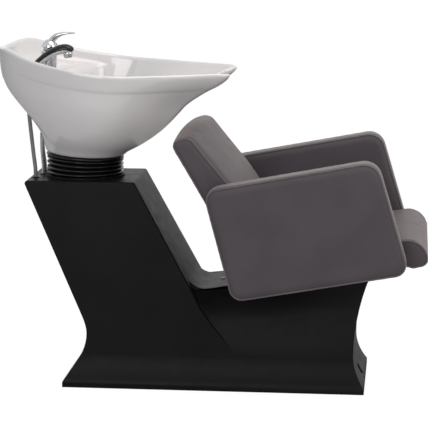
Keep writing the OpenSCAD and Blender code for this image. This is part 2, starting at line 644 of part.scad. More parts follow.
// Twice as many stations, on a smooth curve through the first ones
function between(p, i) = let (n = len(p))
    (9 * (p[i] + p[(i + 1) % n]) - p[(i + n - 1) % n] - p[(i + 2) % n]) / 16;
rim_fine = [for (i = [0:len(rim_all) - 1]) each [rim_all[i], between(rim_all, i)]];
rim = [for (p = rim_fine) [p[0], p[1] * wide, p[2]]];
// How far the wall has gone from foot to rim, by share of the height
wall_front = [[0, 0], [0.06, 0.03], [0.13, 0.14], [0.2, 0.22], [0.3, 0.33], [0.45, 0.455],
    [0.6, 0.545], [0.7, 0.65], [0.8, 0.79], [0.9, 0.93], [0.96, 0.985], [1, 1]];
wall_side = [[0, 0], [0.06, 0.08], [0.13, 0.25], [0.2, 0.4], [0.3, 0.56], [0.45, 0.74],
    [0.6, 0.87], [0.7, 0.915], [0.8, 0.945], [0.9, 0.975], [0.96, 0.99], [1, 1]];
wall_rear = [[0, 0], [0.06, 0.03], [0.13, 0.06], [0.2, 0.09], [0.3, 0.2], [0.45, 0.52],
    [0.6, 0.8], [0.7, 0.905], [0.8, 0.955], [0.9, 0.985], [0.96, 0.995], [1, 1]];
function way(p) = atan2(p[1], p[0] - 20);
function reach(a, q) = let (f = pow(max(0, cos(a)), 2), b = pow(max(0, -cos(a)), 2))
    f * table(wall_front, q) + b * table(wall_rear, q) + (1 - f - b) * table(wall_side, q);
function outer(p, q) = let (a = way(p), g = reach(a, q),
        foot = [foot_r * cos(a), foot_r * sin(a)])
    [foot[0] + (p[0] - foot[0]) * g, foot[1] + (p[1] - foot[1]) * g, p[2] * q];
ledge_z = 247 - ledge_drop;
ledge_front = -64;
bowl_floor = 24;
function flat(p) = [p[0], p[1]];
// Inner wall: the outer wall moved in and up, held back by the ledge's front below ledge_z
function inner(p, z, hold) = let (q = min(1, max(0.05, (z - 8) / p[2])), o = outer(p, q),
        d = norm(flat(o)), s = (d - basin_wall * (q > 0.97 ? 1.15 : 1)) / d,
        x = o[0] * s, y = o[1] * s,
        m = hold && x < -1 ? ledge_front * (1 - exp(-x / ledge_front)) / x : 1)
    [x * m, y * (m + (1 - m) * 0.45), z];
lift = [0.8, 0.6, 0.45, 0.3, 0.18];
basin_rings = concat(
    [[for (p = rim) let (a = way(p)) [0.6 * foot_r * cos(a), 0.6 * foot_r * sin(a), 0]]],
    [for (r = wall_side) [for (p = rim) outer(p, r[0])]],
    [[for (p = rim) let (o = inner(p, p[2], false), e = outer(p, 1)) [(o[0] + e[0]) / 2,
        (o[1] + e[1]) / 2, p[2] + 4]]],
    [[for (p = rim) let (o = inner(p, p[2] - 1, false)) o]],
    [[for (p = rim) inner(p, p[2] - 12, false)]],
    [[for (p = rim) inner(p, min(p[2] - 20, ledge_z + 3 * min(1, max(0, 1 - p[0] / ledge_front))),
        false)]],
    [[for (p = rim) inner(p, min(p[2] - 26, ledge_z), true)]],
    [for (h = lift) let (z = bowl_floor + (ledge_z - bowl_floor) * h)
        [for (p = rim) inner(p, min(p[2] - 40, z), true)]],
    [[for (p = rim) let (a = way(p)) [62 * cos(a), 70 * sin(a), bowl_floor + 4]]],
    [[for (p = rim) let (a = way(p)) [37 * cos(a), 37 * sin(a), bowl_floor]]]);
mixer_x = -114;
socket_at = [-155, -60];
pocket = [[-268, 150], [-242, ledge_z - 42], [-222, ledge_z - 14], [-90, ledge_z - 14],
    [-90, 100], [-110, 30], [-200, 30]];
mixer_hole_r = 17.5;
socket_hole_r = 14;
module basin_blank() skin([for (r = basin_rings) flip(r)],
    apexes = [[0, 0, 0], [0, 0, bowl_floor]]);
module basin() color(white) at_basin() difference() {
    basin_blank();
    across(190) polygon(pocket);
    translate([0, 0, -1]) cylinder(60, r = drain_r);
    translate([mixer_x, 0, ledge_z - 40]) cylinder(60, r = mixer_hole_r);
    translate([socket_at[0], socket_at[1], ledge_z - 30]) cylinder(60, r = socket_hole_r);
    bracket_bolt_places() translate([0, 0, -1]) cylinder(13, r = 3.2);
}

// Drain fittings
module drain_flange() color(chrome) at_basin() {
    translate([0, 0, bowl_floor + 0.3]) difference() {
        cylinder(3, r1 = 33, r2 = 31);
        translate([0, 0, -1]) cylinder(5, r = 18.5);
        translate([0, 0, 1]) cylinder(3, r = 27.5);
    }
    translate([0, 0, -26]) pipe(bowl_floor + 27, drain_r - 1, 18.5);
}
module hair_strainer() color(chrome) at_basin() translate([0, 0, bowl_floor + 1.6]) difference() {
    union() {
        cylinder(1.2, r = 26.5);
        cylinder(5, r = 4);
        translate([0, 0, 5]) sphere(5);
    }
    for (k = [1, 2], i = [0:6 * k - 1]) rotate(i * 60 / k) translate([7 * k + 3, 0, -1])
        cylinder(4, r = 2.1);
}
module waste_nut() color(steel) at_basin() translate([0, 0, -13]) difference() {
    cylinder(12.6, r = 31, $fn = 6);
    translate([0, 0, -1]) cylinder(15, r = drain_r - 1 + run_fit);
}
tail_end = -84;
module waste_tail() color(black) at_basin() {
    translate([0, 0, tail_end]) pipe(-26 - tail_end - 0.3, 19, 16);
    translate([0, 0, -44]) difference() {
        cylinder(17, r = 24);
        translate([0, 0, -1]) cylinder(20, r = 19);
    }
}
function seat_of(p) = [basin_x + p[0] * cos(basin_tilt) + p[2] * sin(basin_tilt), p[1],
    foot_z - p[0] * sin(basin_tilt) + p[2] * cos(basin_tilt)];
// Routes were chosen for this column and basin, and follow them when a size changes
chosen_x = -370;
chosen_h = 563;
chosen_rise = 59;
function follow(route) = [for (p = route)
    let (s = min(1, max(0, (p[2] - 100) / 440)), t = min(1, max(0, (p[2] - chosen_h) / chosen_rise)))
    p + [(basin_x - chosen_x) * s, 0, (column_h - chosen_h) * s + (bellows_h - chosen_rise) * t]];
waste_x = -255;
waste_top = 170;
carrier_t = 4;
carrier_z = foot_h + rail_h;
waste_route = concat([seat_of([0, 0, tail_end - 0.5]), seat_of([0, 0, tail_end - 20])],
    follow([[-375, 0, 490], [-372, 0, 460], [-362, 0, 430], [-346, 0, 400], [-326, 0, 370],
     [-306, 0, 340], [-288, 0, 310], [-272, 0, 275], [-262, 0, 240], [-256, 0, 205]]),
    [[waste_x, 0, waste_top + 20.5], [waste_x, 0, waste_top + 0.3]]);
module waste_hose() color(black) tube(waste_route, 18, 12);
module waste_pipe() color(grey) {
    translate([waste_x, 0, 1]) pipe(waste_top - 1, 20, 17);
    difference() {
        translate([cross_x[0], -24, foot_h + rail_h]) cube([cross_x[1] - cross_x[0] - 3, 78, carrier_t]);
        translate([waste_x, 0, foot_h + rail_h - 1]) cylinder(carrier_t + 2, r = 19);
        for (p = [cold_at, hot_at]) translate([p[0], p[1], foot_h + rail_h - 1])
            cylinder(carrier_t + 2, r = collar_r + seat_fit);
    }
}

// Single lever mixer on the ledge
module at_mixer() at_basin() translate([mixer_x, 0, ledge_z]) children();
pivot_h = 66;
body_h = pivot_h - 10;
ball_r = hood_r - 4;
module mixer_base_ring() color(chrome) at_mixer() difference() {
    translate([0, 0, seat_fit]) rotate_extrude() polygon([[10, 0], [mixer_r + 7, 0],
        [mixer_r + 7, 2], [mixer_r + 5, 4.5], [mixer_r + 2, 6], [10, 6]]);
    translate([0, 0, -1]) cylinder(10, r = 14.2);
}
module mixer_body() color(chrome) at_mixer() difference() {
    union() {
        translate([0, 0, 6.5]) rotate_extrude() polygon([[0, 0], [mixer_r - 2, 0], [mixer_r, 3],
            [mixer_r, body_h - 10], [mixer_r - 1, body_h - 6.5], [0, body_h - 6.5]]);
        translate([0, 0, -40]) cylinder(50, r = 14);
    }
    translate([0, 0, 14]) cylinder(body_h, r = ball_r - 1);
    for (a = [90, 210, 330]) rotate(a) translate([7.5, 0, -41]) cylinder(60, r = 2.5);
}
module mixer_nut() color("goldenrod") at_mixer() translate([0, 0, -14 - 8.3]) difference() {
    cylinder(8, r = 22, $fn = 6);
    translate([0, 0, -1]) cylinder(10, r = 14 + run_fit);
}
module mixer_cartridge() color(white) at_mixer() translate([0, 0, 14.1]) difference() {
    cylinder(body_h - 14.1 - 1.4, r = ball_r - 1.2);
    translate([0, 0, body_h - 32]) cylinder(30, r = 5.2);
}
module handle_ball() color(chrome) at_mixer() translate([0, 0, pivot_h]) {
    difference() {
        sphere(ball_r);
        translate([0, 0, -30 - 9.4]) cube(60, center = true);
        rotate([90, 0, 0]) cylinder(60, r = 2.02, center = true);
    }
    translate([0, 0, -22]) cylinder(13, r = 5);
}
module lever_pin() color(steel) at_mixer() translate([0, 0, pivot_h])
    rotate([90, 0, 0]) cylinder(2 * hood_r - 1.5, r = 2, center = true);
hood_gap = 0.3;
hood_cut = 12.4;
module mixer_lever() color(chrome) at_mixer() translate([0, 0, pivot_h]) difference() {
    union() {
        sphere(hood_r);
        intersection() {
            across(25) polygon(rounded([[4, 8], [19, 12], [31, 32], [lever_len, 41], [lever_len, 45],
                [32, 44], [6, 37], [-13, 17.5]], [1, 3, 14, 1, 1, 20, 20, 1], 4));
            translate([8, 0, 0]) linear_extrude(60)
                polygon(rounded([[-30, -10], [20, -12], [lever_len - 8, -7.5], [lever_len - 8, 7.5],
                    [20, 12], [-30, 10]], [3, 10, 6, 6, 10, 3], 4));
        }
    }
    sphere(ball_r + hood_gap);
    translate([0, 0, -2.9]) rotate([0, hood_cut, 0]) translate([0, 0, -30])
        cube([80, 80, 60], center = true);
    rotate([90, 0, 0]) cylinder(60, r = 2 + run_fit, center = true);
    rotate([0, 90 - 27, 0]) translate([0, 0, hood_r - 1.2]) cylinder(8, r = 3.6);
}
module index_button() color("firebrick") at_mixer() translate([0, 0, pivot_h])
    rotate([0, 90 - 27, 0]) translate([0, 0, hood_r - 1.1]) cylinder(1.6, r = 3.4);

// Hand shower, standing in a leaning socket
module at_socket() at_basin() translate([socket_at[0], socket_at[1], ledge_z])
    rotate([0, shower_lean, 0]) children();
socket_h = 16;
module shower_socket() color(chrome) {
    at_basin() translate([socket_at[0], socket_at[1], ledge_z]) difference() {
        union() {
            translate([0, 0, seat_fit]) cylinder(5, r1 = 20, r2 = 18);
            translate([0, 0, -30]) cylinder(31, r = socket_hole_r - 0.5);
        }
        rotate([0, shower_lean, 0]) cylinder(40, r = shank_r + run_fit);
        translate([0, 0, -31]) cylinder(40, r = shank_r - 1);
    }
    difference() {
        at_socket() translate([0, 0, 2]) cylinder(socket_h, r = 14);
        at_socket() translate([0, 0, -10]) cylinder(40, r = shank_r + run_fit);
        at_basin() translate([-300, -200, ledge_z - 40]) cube([300, 300, 44]);
    }
}
module socket_nut() color("goldenrod") at_basin()
    translate([socket_at[0], socket_at[1], ledge_z - 14 - 7.3]) difference() {
        cylinder(7, r = 19, $fn = 6);
        translate([0, 0, -1]) cylinder(9, r = socket_hole_r - 0.5 + run_fit);
    }
// Centre line of the handle in the basin's frame: x, z, half depth, half width
shower_line = [[-143.2, 237.2, 9, 9], [-136, 246, 9.5, 10], [-122, 260, 10.5, 12], [-106, 273, 11.5, 13.5],
    [-89, 283.5, 12.5, 15], [-72, 290.5, 13.5, 16], [-57, 293.5, 13.5, 16.5], [-45, 291, 12, 15],
    [-38, 287, 8, 10]];
grip_from = -0.2;
head_at = [-52, 283];
head_h = 12;
function shower_ring(i, lo, hi) = let (p = shower_line[i],
        a = shower_line[max(i - 1, 0)], b = shower_line[min(i + 1, len(shower_line) - 1)],
        t = unit([b[0] - a[0], b[1] - a[1]]))
    [for (k = [0:11]) let (c = cos(30 * k), s = min(hi, max(lo, sin(30 * k))))
        [p[0] - t[1] * p[2] * s, socket_at[1] + p[3] * c, p[1] + t[0] * p[2] * s]];
module hand_shower() color(chrome) {
    at_basin() skin([for (i = [0:len(shower_line) - 1]) flip(shower_ring(i, -1, grip_from))]);
    at_socket() translate([0, 0, 1.4]) cylinder(19, r = shank_r);
    at_head() cylinder(head_h, r1 = 13, r2 = 11.5);
}
module shower_grip() color(black) at_basin() difference() {
    skin([for (i = [0:len(shower_line) - 1]) flip(shower_ring(i, grip_from + 0.01, 1))]);
    translate([-300, -100, 200]) cube([172, 80, 56]);
}
module at_head() at_basin() translate([head_at[0], socket_at[1], head_at[1]])
    rotate([0, 172, 0]) children();
module spray_face() color([0.3, 0.3, 0.32]) at_head()
    translate([0, 0, head_h + 0.05]) difference() {
        cylinder(2, r = 10);
        for (k = [1, 2], i = [0:6 * k - 1]) rotate(i * 60 / k) translate([3.2 * k, 0, 1])
            cylinder(2, r = 0.7);
    }

// Hoses, held at both ends
module hose_grommets() color(black)
    for (h = [[hole_shower, hose_r], [hole_outlet, hose_r], [hole_cold, supply_r], [hole_hot, supply_r]])
        translate([h[0][0], h[0][1], column_h]) difference() {
            union() {
                cylinder(2.5, r = grommet_r + 1);
                translate([0, 0, -wall - 2]) cylinder(wall + 3, r = grommet_r - 0.1);
            }
            translate([0, 0, -20]) cylinder(40, r = h[1] + 1);
        }
shower_route = concat([seat_of([socket_at[0], socket_at[1], ledge_z - 30.4])],
    [seat_of([socket_at[0], socket_at[1], ledge_z - 42])],
    follow([[-514, -60, 790], [-516, -60, 765], [-515, -60, 740], [-512, -60, 705], [-508, -60, 665],
     [-504, -60, 625], [-500, -60, 590], [-499, -60, 563], [-496, -60, 540], [-487, -60, 515],
     [-474, -60, 488], [-459, -60, 460], [-446, -59, 430], [-435, -56, 404], [-427, -48, 384],
     [-422, -34, 370], [-420, -15, 365], [-422, 4, 370], [-427, 18, 384], [-435, 26, 404],
     [-446, 29, 430], [-459, 30, 460], [-472, 30, 488], [-483, 30, 515], [-490, 30, 540],
     [-492, 30, 563], [-494, 29, 590], [-496, 26, 625], [-495, 20, 660], [-492, 10, 700],
     [-489, -2, 740], [-486, -6, 770]]),
    [seat_of([mixer_x - 3.75, -6.5, ledge_z - 54]), seat_of([mixer_x - 3.75, -6.5, ledge_z - 40.3])]);
module shower_hose() color([0.35, 0.35, 0.36]) tube(shower_route, hose_r, 8);
cold_at = [-295, 18];
hot_at = [-295, 42];
union_low = 18;
union_top = 74;
function union_end(p) = [[p[0] - 1, p[1], union_top + 14], [p[0], p[1], union_top + 0.3]];
cold_route = concat([seat_of([mixer_x + 7.5, 0, ledge_z - 40.3])],
    [seat_of([mixer_x + 7.5, 0, ledge_z - 54])],
    follow([[-473, 0, 770], [-474, 0, 740], [-481, 0, 700], [-489, 0, 665], [-490, 0, 625],
     [-489, 0, 585], [-489, 0, 563], [-488.5, 0, 548], [-484, 0, 530], [-473, 2, 505], [-458, 5, 475],
     [-440, 9, 440], [-418, 14, 400], [-398, 18, 350], [-378, 22, 300], [-356, 24, 250],
     [-336, 24, 200], [-320, 22, 150], [-305, 19, 112]]), union_end(cold_at));
hot_route = concat([seat_of([mixer_x - 3.75, 6.5, ledge_z - 40.3])],
    [seat_of([mixer_x - 3.75, 6.5, ledge_z - 54])],
    follow([[-485, 8, 770], [-488, 13, 740], [-492, 23, 710], [-496, 34, 680], [-498, 45, 650],
     [-498, 54, 620], [-495, 60, 585], [-495, 60, 563], [-494.5, 60, 548], [-490, 60, 530],
     [-479, 58, 505],
     [-462, 55, 470], [-442, 52, 435], [-420, 50, 400], [-400, 50, 350], [-379, 50, 300],
     [-357, 50, 250], [-337, 49, 200], [-320, 46, 150], [-305, 43, 112]]), union_end(hot_at));
module cold_hose() color([0.6, 0.61, 0.63]) tube(cold_route, supply_r, 8);
module hot_hose() color([0.6, 0.61, 0.63]) tube(hot_route, supply_r, 8);
union_r = 7;
union_neck = carrier_z - 2;
collar_r = 8.6;
union_hex = 11;
module supply_unions() color("goldenrod") for (p = [cold_at, hot_at])
    translate([p[0], p[1], union_low]) {
        cylinder(union_neck - union_low + 1, r = union_r);
        translate([0, 0, union_neck - union_low]) cylinder(carrier_z + carrier_t - union_neck, r = collar_r);
        translate([0, 0, carrier_z + carrier_t - union_low])
            cylinder(union_top - carrier_z - carrier_t, r = union_hex, $fn = 6);
    }

base_shell();
service_panel();
panel_screws();
floor_frame();
levelling_feet();
column_frame();
pedestal_frame();
seat_plate();
seat_bolts();
shell_screw();
hose_grommets();
seat_board();
seat_cushion();
backrest_board();
backrest_cushion();
backrest_brackets();
backrest_bolts();
board_bolts();
arm_core_left();
arm_core_right();
arm_pad_left();
arm_pad_right();
arm_brackets();
arm_screws();
tilt_yoke();
yoke_bolts();
tilt_bracket();
bracket_bolts();
tilt_pins();
pin_nuts();
friction_washers();
bellows();
bellows_base_ring();
ring_screws();
bellows_top_ring();
basin();
drain_flange();
hair_strainer();
waste_nut();
waste_tail();
waste_hose();
waste_pipe();
mixer_base_ring();
mixer_body();
mixer_nut();
mixer_cartridge();
handle_ball();
lever_pin();
mixer_lever();
index_button();
shower_socket();
socket_nut();
hand_shower();
shower_grip();
spray_face();
shower_hose();
cold_hose();
hot_hose();
supply_unions();
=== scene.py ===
# %% [markdown]
# A hairdresser's backwash unit: a black moulded base, a white ceramic basin that tilts on rubber
# bellows, a chrome mixer with a hand shower, and a reclined seat in grey leatherette with panel
# arms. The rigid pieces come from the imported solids. This file adds what a maker would finish by
# hand: glaze, padding, piping, smooth hoses and the surface of each material.

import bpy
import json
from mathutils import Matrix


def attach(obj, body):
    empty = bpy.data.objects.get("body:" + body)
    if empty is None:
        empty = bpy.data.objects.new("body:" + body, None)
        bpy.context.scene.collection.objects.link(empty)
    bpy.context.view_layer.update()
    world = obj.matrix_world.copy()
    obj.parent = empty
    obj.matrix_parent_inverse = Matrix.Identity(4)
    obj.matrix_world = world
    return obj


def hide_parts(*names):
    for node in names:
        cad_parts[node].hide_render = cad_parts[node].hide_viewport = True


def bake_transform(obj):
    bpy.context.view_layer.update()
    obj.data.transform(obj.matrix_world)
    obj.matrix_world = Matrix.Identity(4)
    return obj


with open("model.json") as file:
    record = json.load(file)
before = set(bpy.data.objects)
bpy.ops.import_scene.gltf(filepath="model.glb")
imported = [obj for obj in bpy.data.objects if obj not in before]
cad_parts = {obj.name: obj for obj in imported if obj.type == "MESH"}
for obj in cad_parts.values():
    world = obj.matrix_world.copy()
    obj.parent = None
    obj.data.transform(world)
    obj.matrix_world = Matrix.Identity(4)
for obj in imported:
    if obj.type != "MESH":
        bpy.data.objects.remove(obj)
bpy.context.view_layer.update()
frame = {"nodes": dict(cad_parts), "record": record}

# %% Modules, and the scene to build in
import json
import math

import bmesh
import bpy
from mathutils import Matrix, Vector
from mathutils.bvhtree import BVHTree

studio = bpy.context.scene
MM = 0.001

# %% [markdown]
# The camera comes first, because everything is judged through it. It stands five metres away with
# a long lens, a little above the seat, as a product photographer would place it.

# %% Camera
lens = bpy.data.cameras.new("studio_camera")
lens.lens = 164.6
lens.sensor_width = 36
lens.clip_end = 200
camera = bpy.data.objects.new("studio_camera", lens)
camera.location = (0.526, -5.307, 1.420)
camera.rotation_euler = (math.radians(79.773), 0, math.radians(5.787))
studio.collection.objects.link(camera)
studio.camera = camera
print("camera stands at", tuple(round(c, 3) for c in camera.location))

# %% [markdown]
# Small helpers for shapes. A piece starts as a bmesh, and becomes an object whose place is in its
# mesh. Smooth shading with a sharp angle keeps machined edges crisp and moulded ones soft.

# %% From bmesh to piece
def shade(mesh, angle):
    for face in mesh.polygons:
        face.use_smooth = True
    mesh.set_sharp_from_angle(angle=math.radians(angle))


def make_piece(name, bm, material, body, angle=35):
    bmesh.ops.remove_doubles(bm, verts=bm.verts, dist=1e-6)
    bmesh.ops.recalc_face_normals(bm, faces=bm.faces)
    mesh = bpy.data.meshes.new(name)
    bm.to_mesh(mesh)
    bm.free()
    piece = bpy.data.objects.new(name, mesh)
    studio.collection.objects.link(piece)
    shade(mesh, angle)
    mesh.materials.append(material)
    if body:
        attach(piece, body)
    return piece


def settle(piece):
    bpy.context.view_layer.update()
    seen = piece.evaluated_get(bpy.context.evaluated_depsgraph_get())
    mesh = bpy.data.meshes.new_from_object(seen)
    piece.modifiers.clear()
    piece.data = mesh


def refine(piece, levels, angle=35):
    smooth = piece.modifiers.new("refine", "SUBSURF")
    smooth.levels = smooth.render_levels = levels
    settle(piece)
    shade(piece.data, angle)


# %% Sweep one ring after another
def loft(rings, caps=True, joined=False):
    """A circle is extruded from ring to ring, and each copy is set on the next ring's points."""
    bm = bmesh.new()
    ring = bmesh.ops.create_circle(bm, segments=len(rings[0]), radius=1)["verts"]
    edges = list(bm.edges)
    first = edges
    for vert, place in zip(ring, rings[0]):
        vert.co = place
    for places in rings[1:]:
        made = bmesh.ops.extrude_edge_only(bm, edges=edges)["geom"]
        fresh = {g for g in made if isinstance(g, bmesh.types.BMVert)}
        ring = [next(e.other_vert(v) for e in v.link_edges if e.other_vert(v) in fresh)
                for v in ring]
        edges = [g for g in made if isinstance(g, bmesh.types.BMEdge) and set(g.verts) <= fresh]
        for vert, place in zip(ring, places):
            vert.co = place
    if joined:
        bmesh.ops.bridge_loops(bm, edges=first + edges)
    elif caps:
        for loop in (first, edges):
            bmesh.ops.contextual_create(bm, geom=loop)
    return bm


def smooth_route(points, step):
    """More points on a smooth curve through the ones given."""
    p = [Vector(q) for q in points]
    p = [p[0] * 2 - p[1]] + p + [p[-1] * 2 - p[-2]]
    out = []
    for a, b, c, d in zip(p, p[1:], p[2:], p[3:]):
        n = max(1, round((c - b).length / step))
        for k in range(n):
            t = k / n
            out.append(0.5 * (2 * b + (c - a) * t + (2 * a - 5 * b + 4 * c - d) * t * t
                              + (3 * b - a - 3 * c + d) * t ** 3))
    return out + [p[-2]]


def tube_rings(route, radius, sides, closed=False):
    rings = []
    up = None
    for i, here in enumerate(route):
        back = route[i - 1] if i or closed else here
        ahead = route[(i + 1) % len(route)] if i + 1 < len(route) or closed else here
        along = (ahead - back).normalized()
        up = up if up is not None else along.orthogonal()
        up = (up - along * up.dot(along)).normalized()
        side = along.cross(up)
        rings.append([here + radius * (math.cos(a) * up + math.sin(a) * side)
                      for a in (2 * math.pi * k / sides for k in range(sides))])
    return rings


# %% [markdown]
# Pressed, cast and moulded pieces never end in a knife edge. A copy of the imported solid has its
# loose triangles merged, its flat areas dissolved and its edges bevelled, which gives each edge the
# thin highlight that tells the eye how big it is. Where the bevel is wide, corner points that lie
# close together are welded first, because it would slide past them and fold the face.

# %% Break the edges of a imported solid
broad_area, long_edge, above_floor = 120 * MM * MM, 12 * MM, 2 * MM
weld_gap = 2 * MM


def moulded_edge(edge):
    """An outer corner above the floor that is long, or lies between two broad faces."""
    broad = min(f.calc_area() for f in edge.link_faces) > broad_area
    return (edge.is_convex and (broad or edge.calc_length() > long_edge)
            and min(v.co.z for v in edge.verts) > above_floor)


def eased(node, width, material, slot, body, steps=2, turn=28, angle=35, broad=False):
    bm = bmesh.new()
    bm.from_mesh(frame["nodes"][node].data)
    bmesh.ops.remove_doubles(bm, verts=bm.verts, dist=1e-5)
    bmesh.ops.dissolve_limit(bm, angle_limit=math.radians(0.6), verts=bm.verts, edges=bm.edges)

    def corners():
        return [e for e in bm.edges
                if len(e.link_faces) == 2 and e.calc_face_angle() > math.radians(turn)
                and (not broad or moulded_edge(e))]

    if broad:
        ends = {v for e in corners() for v in e.verts}
        bmesh.ops.remove_doubles(bm, verts=[v for v in bm.verts if v in ends], dist=weld_gap)
    bmesh.ops.bevel(bm, geom=corners(), offset=width, segments=steps, profile=0.5,
                    affect="EDGES", material=-1, clamp_overlap=not broad)
    piece = make_piece(node + "_eased", bm, material, body, angle)
    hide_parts(node)
    return piece


# %% [markdown]
# Materials are node trees on Object coordinates, so a grain keeps its real size on every piece.
# Each has a base colour that drifts a little, a roughness that does the same, and a fine bump.

# %% A workshop for node materials
class Finish:
    def __init__(self, name, **sockets):
        self.material = bpy.data.materials.new(name)
        self.material.use_nodes = True
        self.tree = self.material.node_tree
        self.shader = self.tree.nodes["Principled BSDF"]
        self.place = self.tree.nodes.new("ShaderNodeTexCoord").outputs["Object"]
        for socket, value in sockets.items():
            self.shader.inputs[socket.replace("_", " ")].default_value = value

    def node(self, kind, **values):
        made = self.tree.nodes.new("ShaderNode" + kind)
        for key, value in values.items():
            socket = key.replace("_", " ")
            if socket in made.inputs:
                made.inputs[socket].default_value = value
            else:
                setattr(made, key, value)
        return made

    def link(self, out, into):
        self.tree.links.new(out, into)

    def noise(self, scale, detail=3, place=None):
        made = self.node("TexNoise", Scale=scale, Detail=detail)
        self.link(place or self.place, made.inputs["Vector"])
        return made.outputs["Fac"]

    def spread(self, value, low, high, out_low, out_high):
        made = self.node("MapRange")
        for i, v in zip((1, 2, 3, 4), (low, high, out_low, out_high)):
            made.inputs[i].default_value = v
        self.link(value, made.inputs[0])
        return made.outputs[0]

    def colours(self, value, dark, light, low=0.35, high=0.65):
        made = self.node("ValToRGB")
        ramp = made.color_ramp.elements
        ramp[0].position, ramp[0].color = low, (*dark, 1)
        ramp[1].position, ramp[1].color = high, (*light, 1)
        self.link(value, made.inputs[0])
        self.link(made.outputs[0], self.shader.inputs["Base Color"])

    def rough(self, value, low, high):
        self.link(self.spread(value, 0.3, 0.7, low, high), self.shader.inputs["Roughness"])

    def bump(self, *layers):
        below = None
        for height, depth in layers:
            made = self.node("Bump", Strength=1.0, Distance=depth * MM)
            self.link(height, made.inputs["Height"])
            if below:
                self.link(below, made.inputs["Normal"])
            below = made.outputs["Normal"]
        self.link(below, self.shader.inputs["Normal"])


# %% [markdown]
# The base is moulded in black plastic with a fine spark texture: matte, but it lifts to a brownish
# grey where a face leans to the light. Two sizes of noise give the texture and a faint unevenness.

# %% Moulded black shell
shell = Finish("moulded_black_shell", IOR=1.5, Specular_IOR_Level=0.08)
shell.colours(shell.noise(6), (0.0068, 0.0064, 0.0068), (0.0092, 0.0085, 0.0088))
shell.rough(shell.noise(30), 0.36, 0.44)
shell.bump((shell.noise(1400, 2), 0.10), (shell.noise(420, 2), 0.08))

# %% [markdown]
# Leatherette is a coated cloth embossed with a pebbled grain. A Voronoi texture's distance to its
# cell edges makes the pebbles, a second and larger one the uneven lay, and the colour drifts so
# that the panels don't look painted.

# %% Grey leatherette
def leatherette_finish(name, dark, light):
    f = Finish(name, Specular_IOR_Level=0.3, Sheen_Weight=0.4, Sheen_Roughness=0.35,
               Sheen_Tint=(1.0, 0.86, 0.80, 1))
    f.colours(f.noise(9, 4), dark, light)
    f.rough(f.noise(24), 0.46, 0.56)
    pebble = f.node("TexVoronoi", Scale=640.0)
    pebble.feature = "DISTANCE_TO_EDGE"
    f.link(f.place, pebble.inputs["Vector"])
    f.bump((f.spread(pebble.outputs["Distance"], 0.0, 0.3, 0.0, 1.0), 0.10), (f.noise(90, 3), 0.25))
    return f.material


leatherette = leatherette_finish("grey_leatherette", (0.060, 0.053, 0.061), (0.072, 0.064, 0.073))
# The piping's cover is a lighter copy of the leatherette: its lighter colour is a painted highlight
# along the cord.
piping_cover_painted_highlight = leatherette_finish("piping_leatherette_painted_highlight", (0.105, 0.093, 0.102),
                                  (0.125, 0.111, 0.120))

# %% [markdown]
# Glazed ceramic is nearly smooth: the glaze flows out flat, so only very long waves are left, and a
# clear coat gives the sharp reflection over the white body.

# %% White glaze
glaze = Finish("white_glaze", Coat_Weight=1.0, Coat_Roughness=0.04, IOR=1.5)
glaze.colours(glaze.noise(5), (0.69, 0.685, 0.695), (0.73, 0.725, 0.73))
glaze.rough(glaze.noise(12), 0.16, 0.22)
glaze.bump((glaze.noise(14, 1), 0.35),)

# %% [markdown]
# Chrome shows its surroundings; wiped every day, it has faint smears rather than scratches. The
# other metals are duller: zinc on the fixings, brass under the ledge, powder coat on the frame.

# %% Metals
chrome = Finish("polished_chrome", Metallic=1.0)
chrome.colours(chrome.noise(40), (0.46, 0.47, 0.49), (0.56, 0.57, 0.58))
chrome.rough(chrome.noise(70, 5), 0.05, 0.13)
chrome.bump((chrome.noise(60, 1), 0.03),)

zinc = Finish("zinc_plate", Metallic=1.0)
zinc.colours(zinc.noise(300), (0.42, 0.43, 0.46), (0.60, 0.60, 0.60))
zinc.rough(zinc.noise(500, 4), 0.28, 0.42)
zinc.bump((zinc.noise(900, 2), 0.04),)

brass = Finish("turned_brass", Metallic=1.0)
brass.colours(brass.noise(200), (0.50, 0.36, 0.15), (0.66, 0.49, 0.23))
brass.rough(brass.noise(400, 4), 0.24, 0.38)
brass.bump((brass.noise(1200, 2), 0.03),)

powder = Finish("powder_coated_steel", IOR=1.5)
powder.colours(powder.noise(20), (0.105, 0.108, 0.112), (0.13, 0.133, 0.138))
powder.rough(powder.noise(60), 0.42, 0.52)
powder.bump((powder.noise(520, 2), 0.12),)

# %% [markdown]
# Rubber, plastics and plywood fill in what the sides and the back show.

# %% Rubber, plastics and wood
rubber = Finish("black_rubber", IOR=1.52, Specular_IOR_Level=0.3)
rubber.colours(rubber.noise(50), (0.006, 0.006, 0.0065), (0.010, 0.0095, 0.010))
rubber.rough(rubber.noise(90, 4), 0.18, 0.28)
rubber.bump((rubber.noise(700, 2), 0.05),)

hose_skin = Finish("dark_hose_skin", IOR=1.5)
hose_skin.colours(hose_skin.noise(60), (0.17, 0.17, 0.175), (0.23, 0.23, 0.235))
hose_skin.rough(hose_skin.noise(120), 0.30, 0.40)
hose_skin.bump((hose_skin.noise(900, 2), 0.03),)

nylon = Finish("white_nylon", Subsurface_Weight=0.05)
nylon.colours(nylon.noise(30), (0.68, 0.68, 0.67), (0.76, 0.76, 0.75))
nylon.rough(nylon.noise(90), 0.38, 0.48)
nylon.bump((nylon.noise(800, 2), 0.04),)

grey_nylon = Finish("grey_nylon", IOR=1.5)
grey_nylon.colours(grey_nylon.noise(30), (0.24, 0.24, 0.25), (0.31, 0.31, 0.32))
grey_nylon.rough(grey_nylon.noise(90), 0.40, 0.50)
grey_nylon.bump((grey_nylon.noise(800, 2), 0.05),)

gloss_black = Finish("gloss_black_grip", Specular_IOR_Level=0.25, Coat_Weight=0.08,
                     Coat_Roughness=0.05)
gloss_black.colours(gloss_black.noise(40), (0.006, 0.006, 0.0065), (0.010, 0.010, 0.0105))
gloss_black.rough(gloss_black.noise(80), 0.12, 0.2)
gloss_black.bump((gloss_black.noise(500, 1), 0.01),)

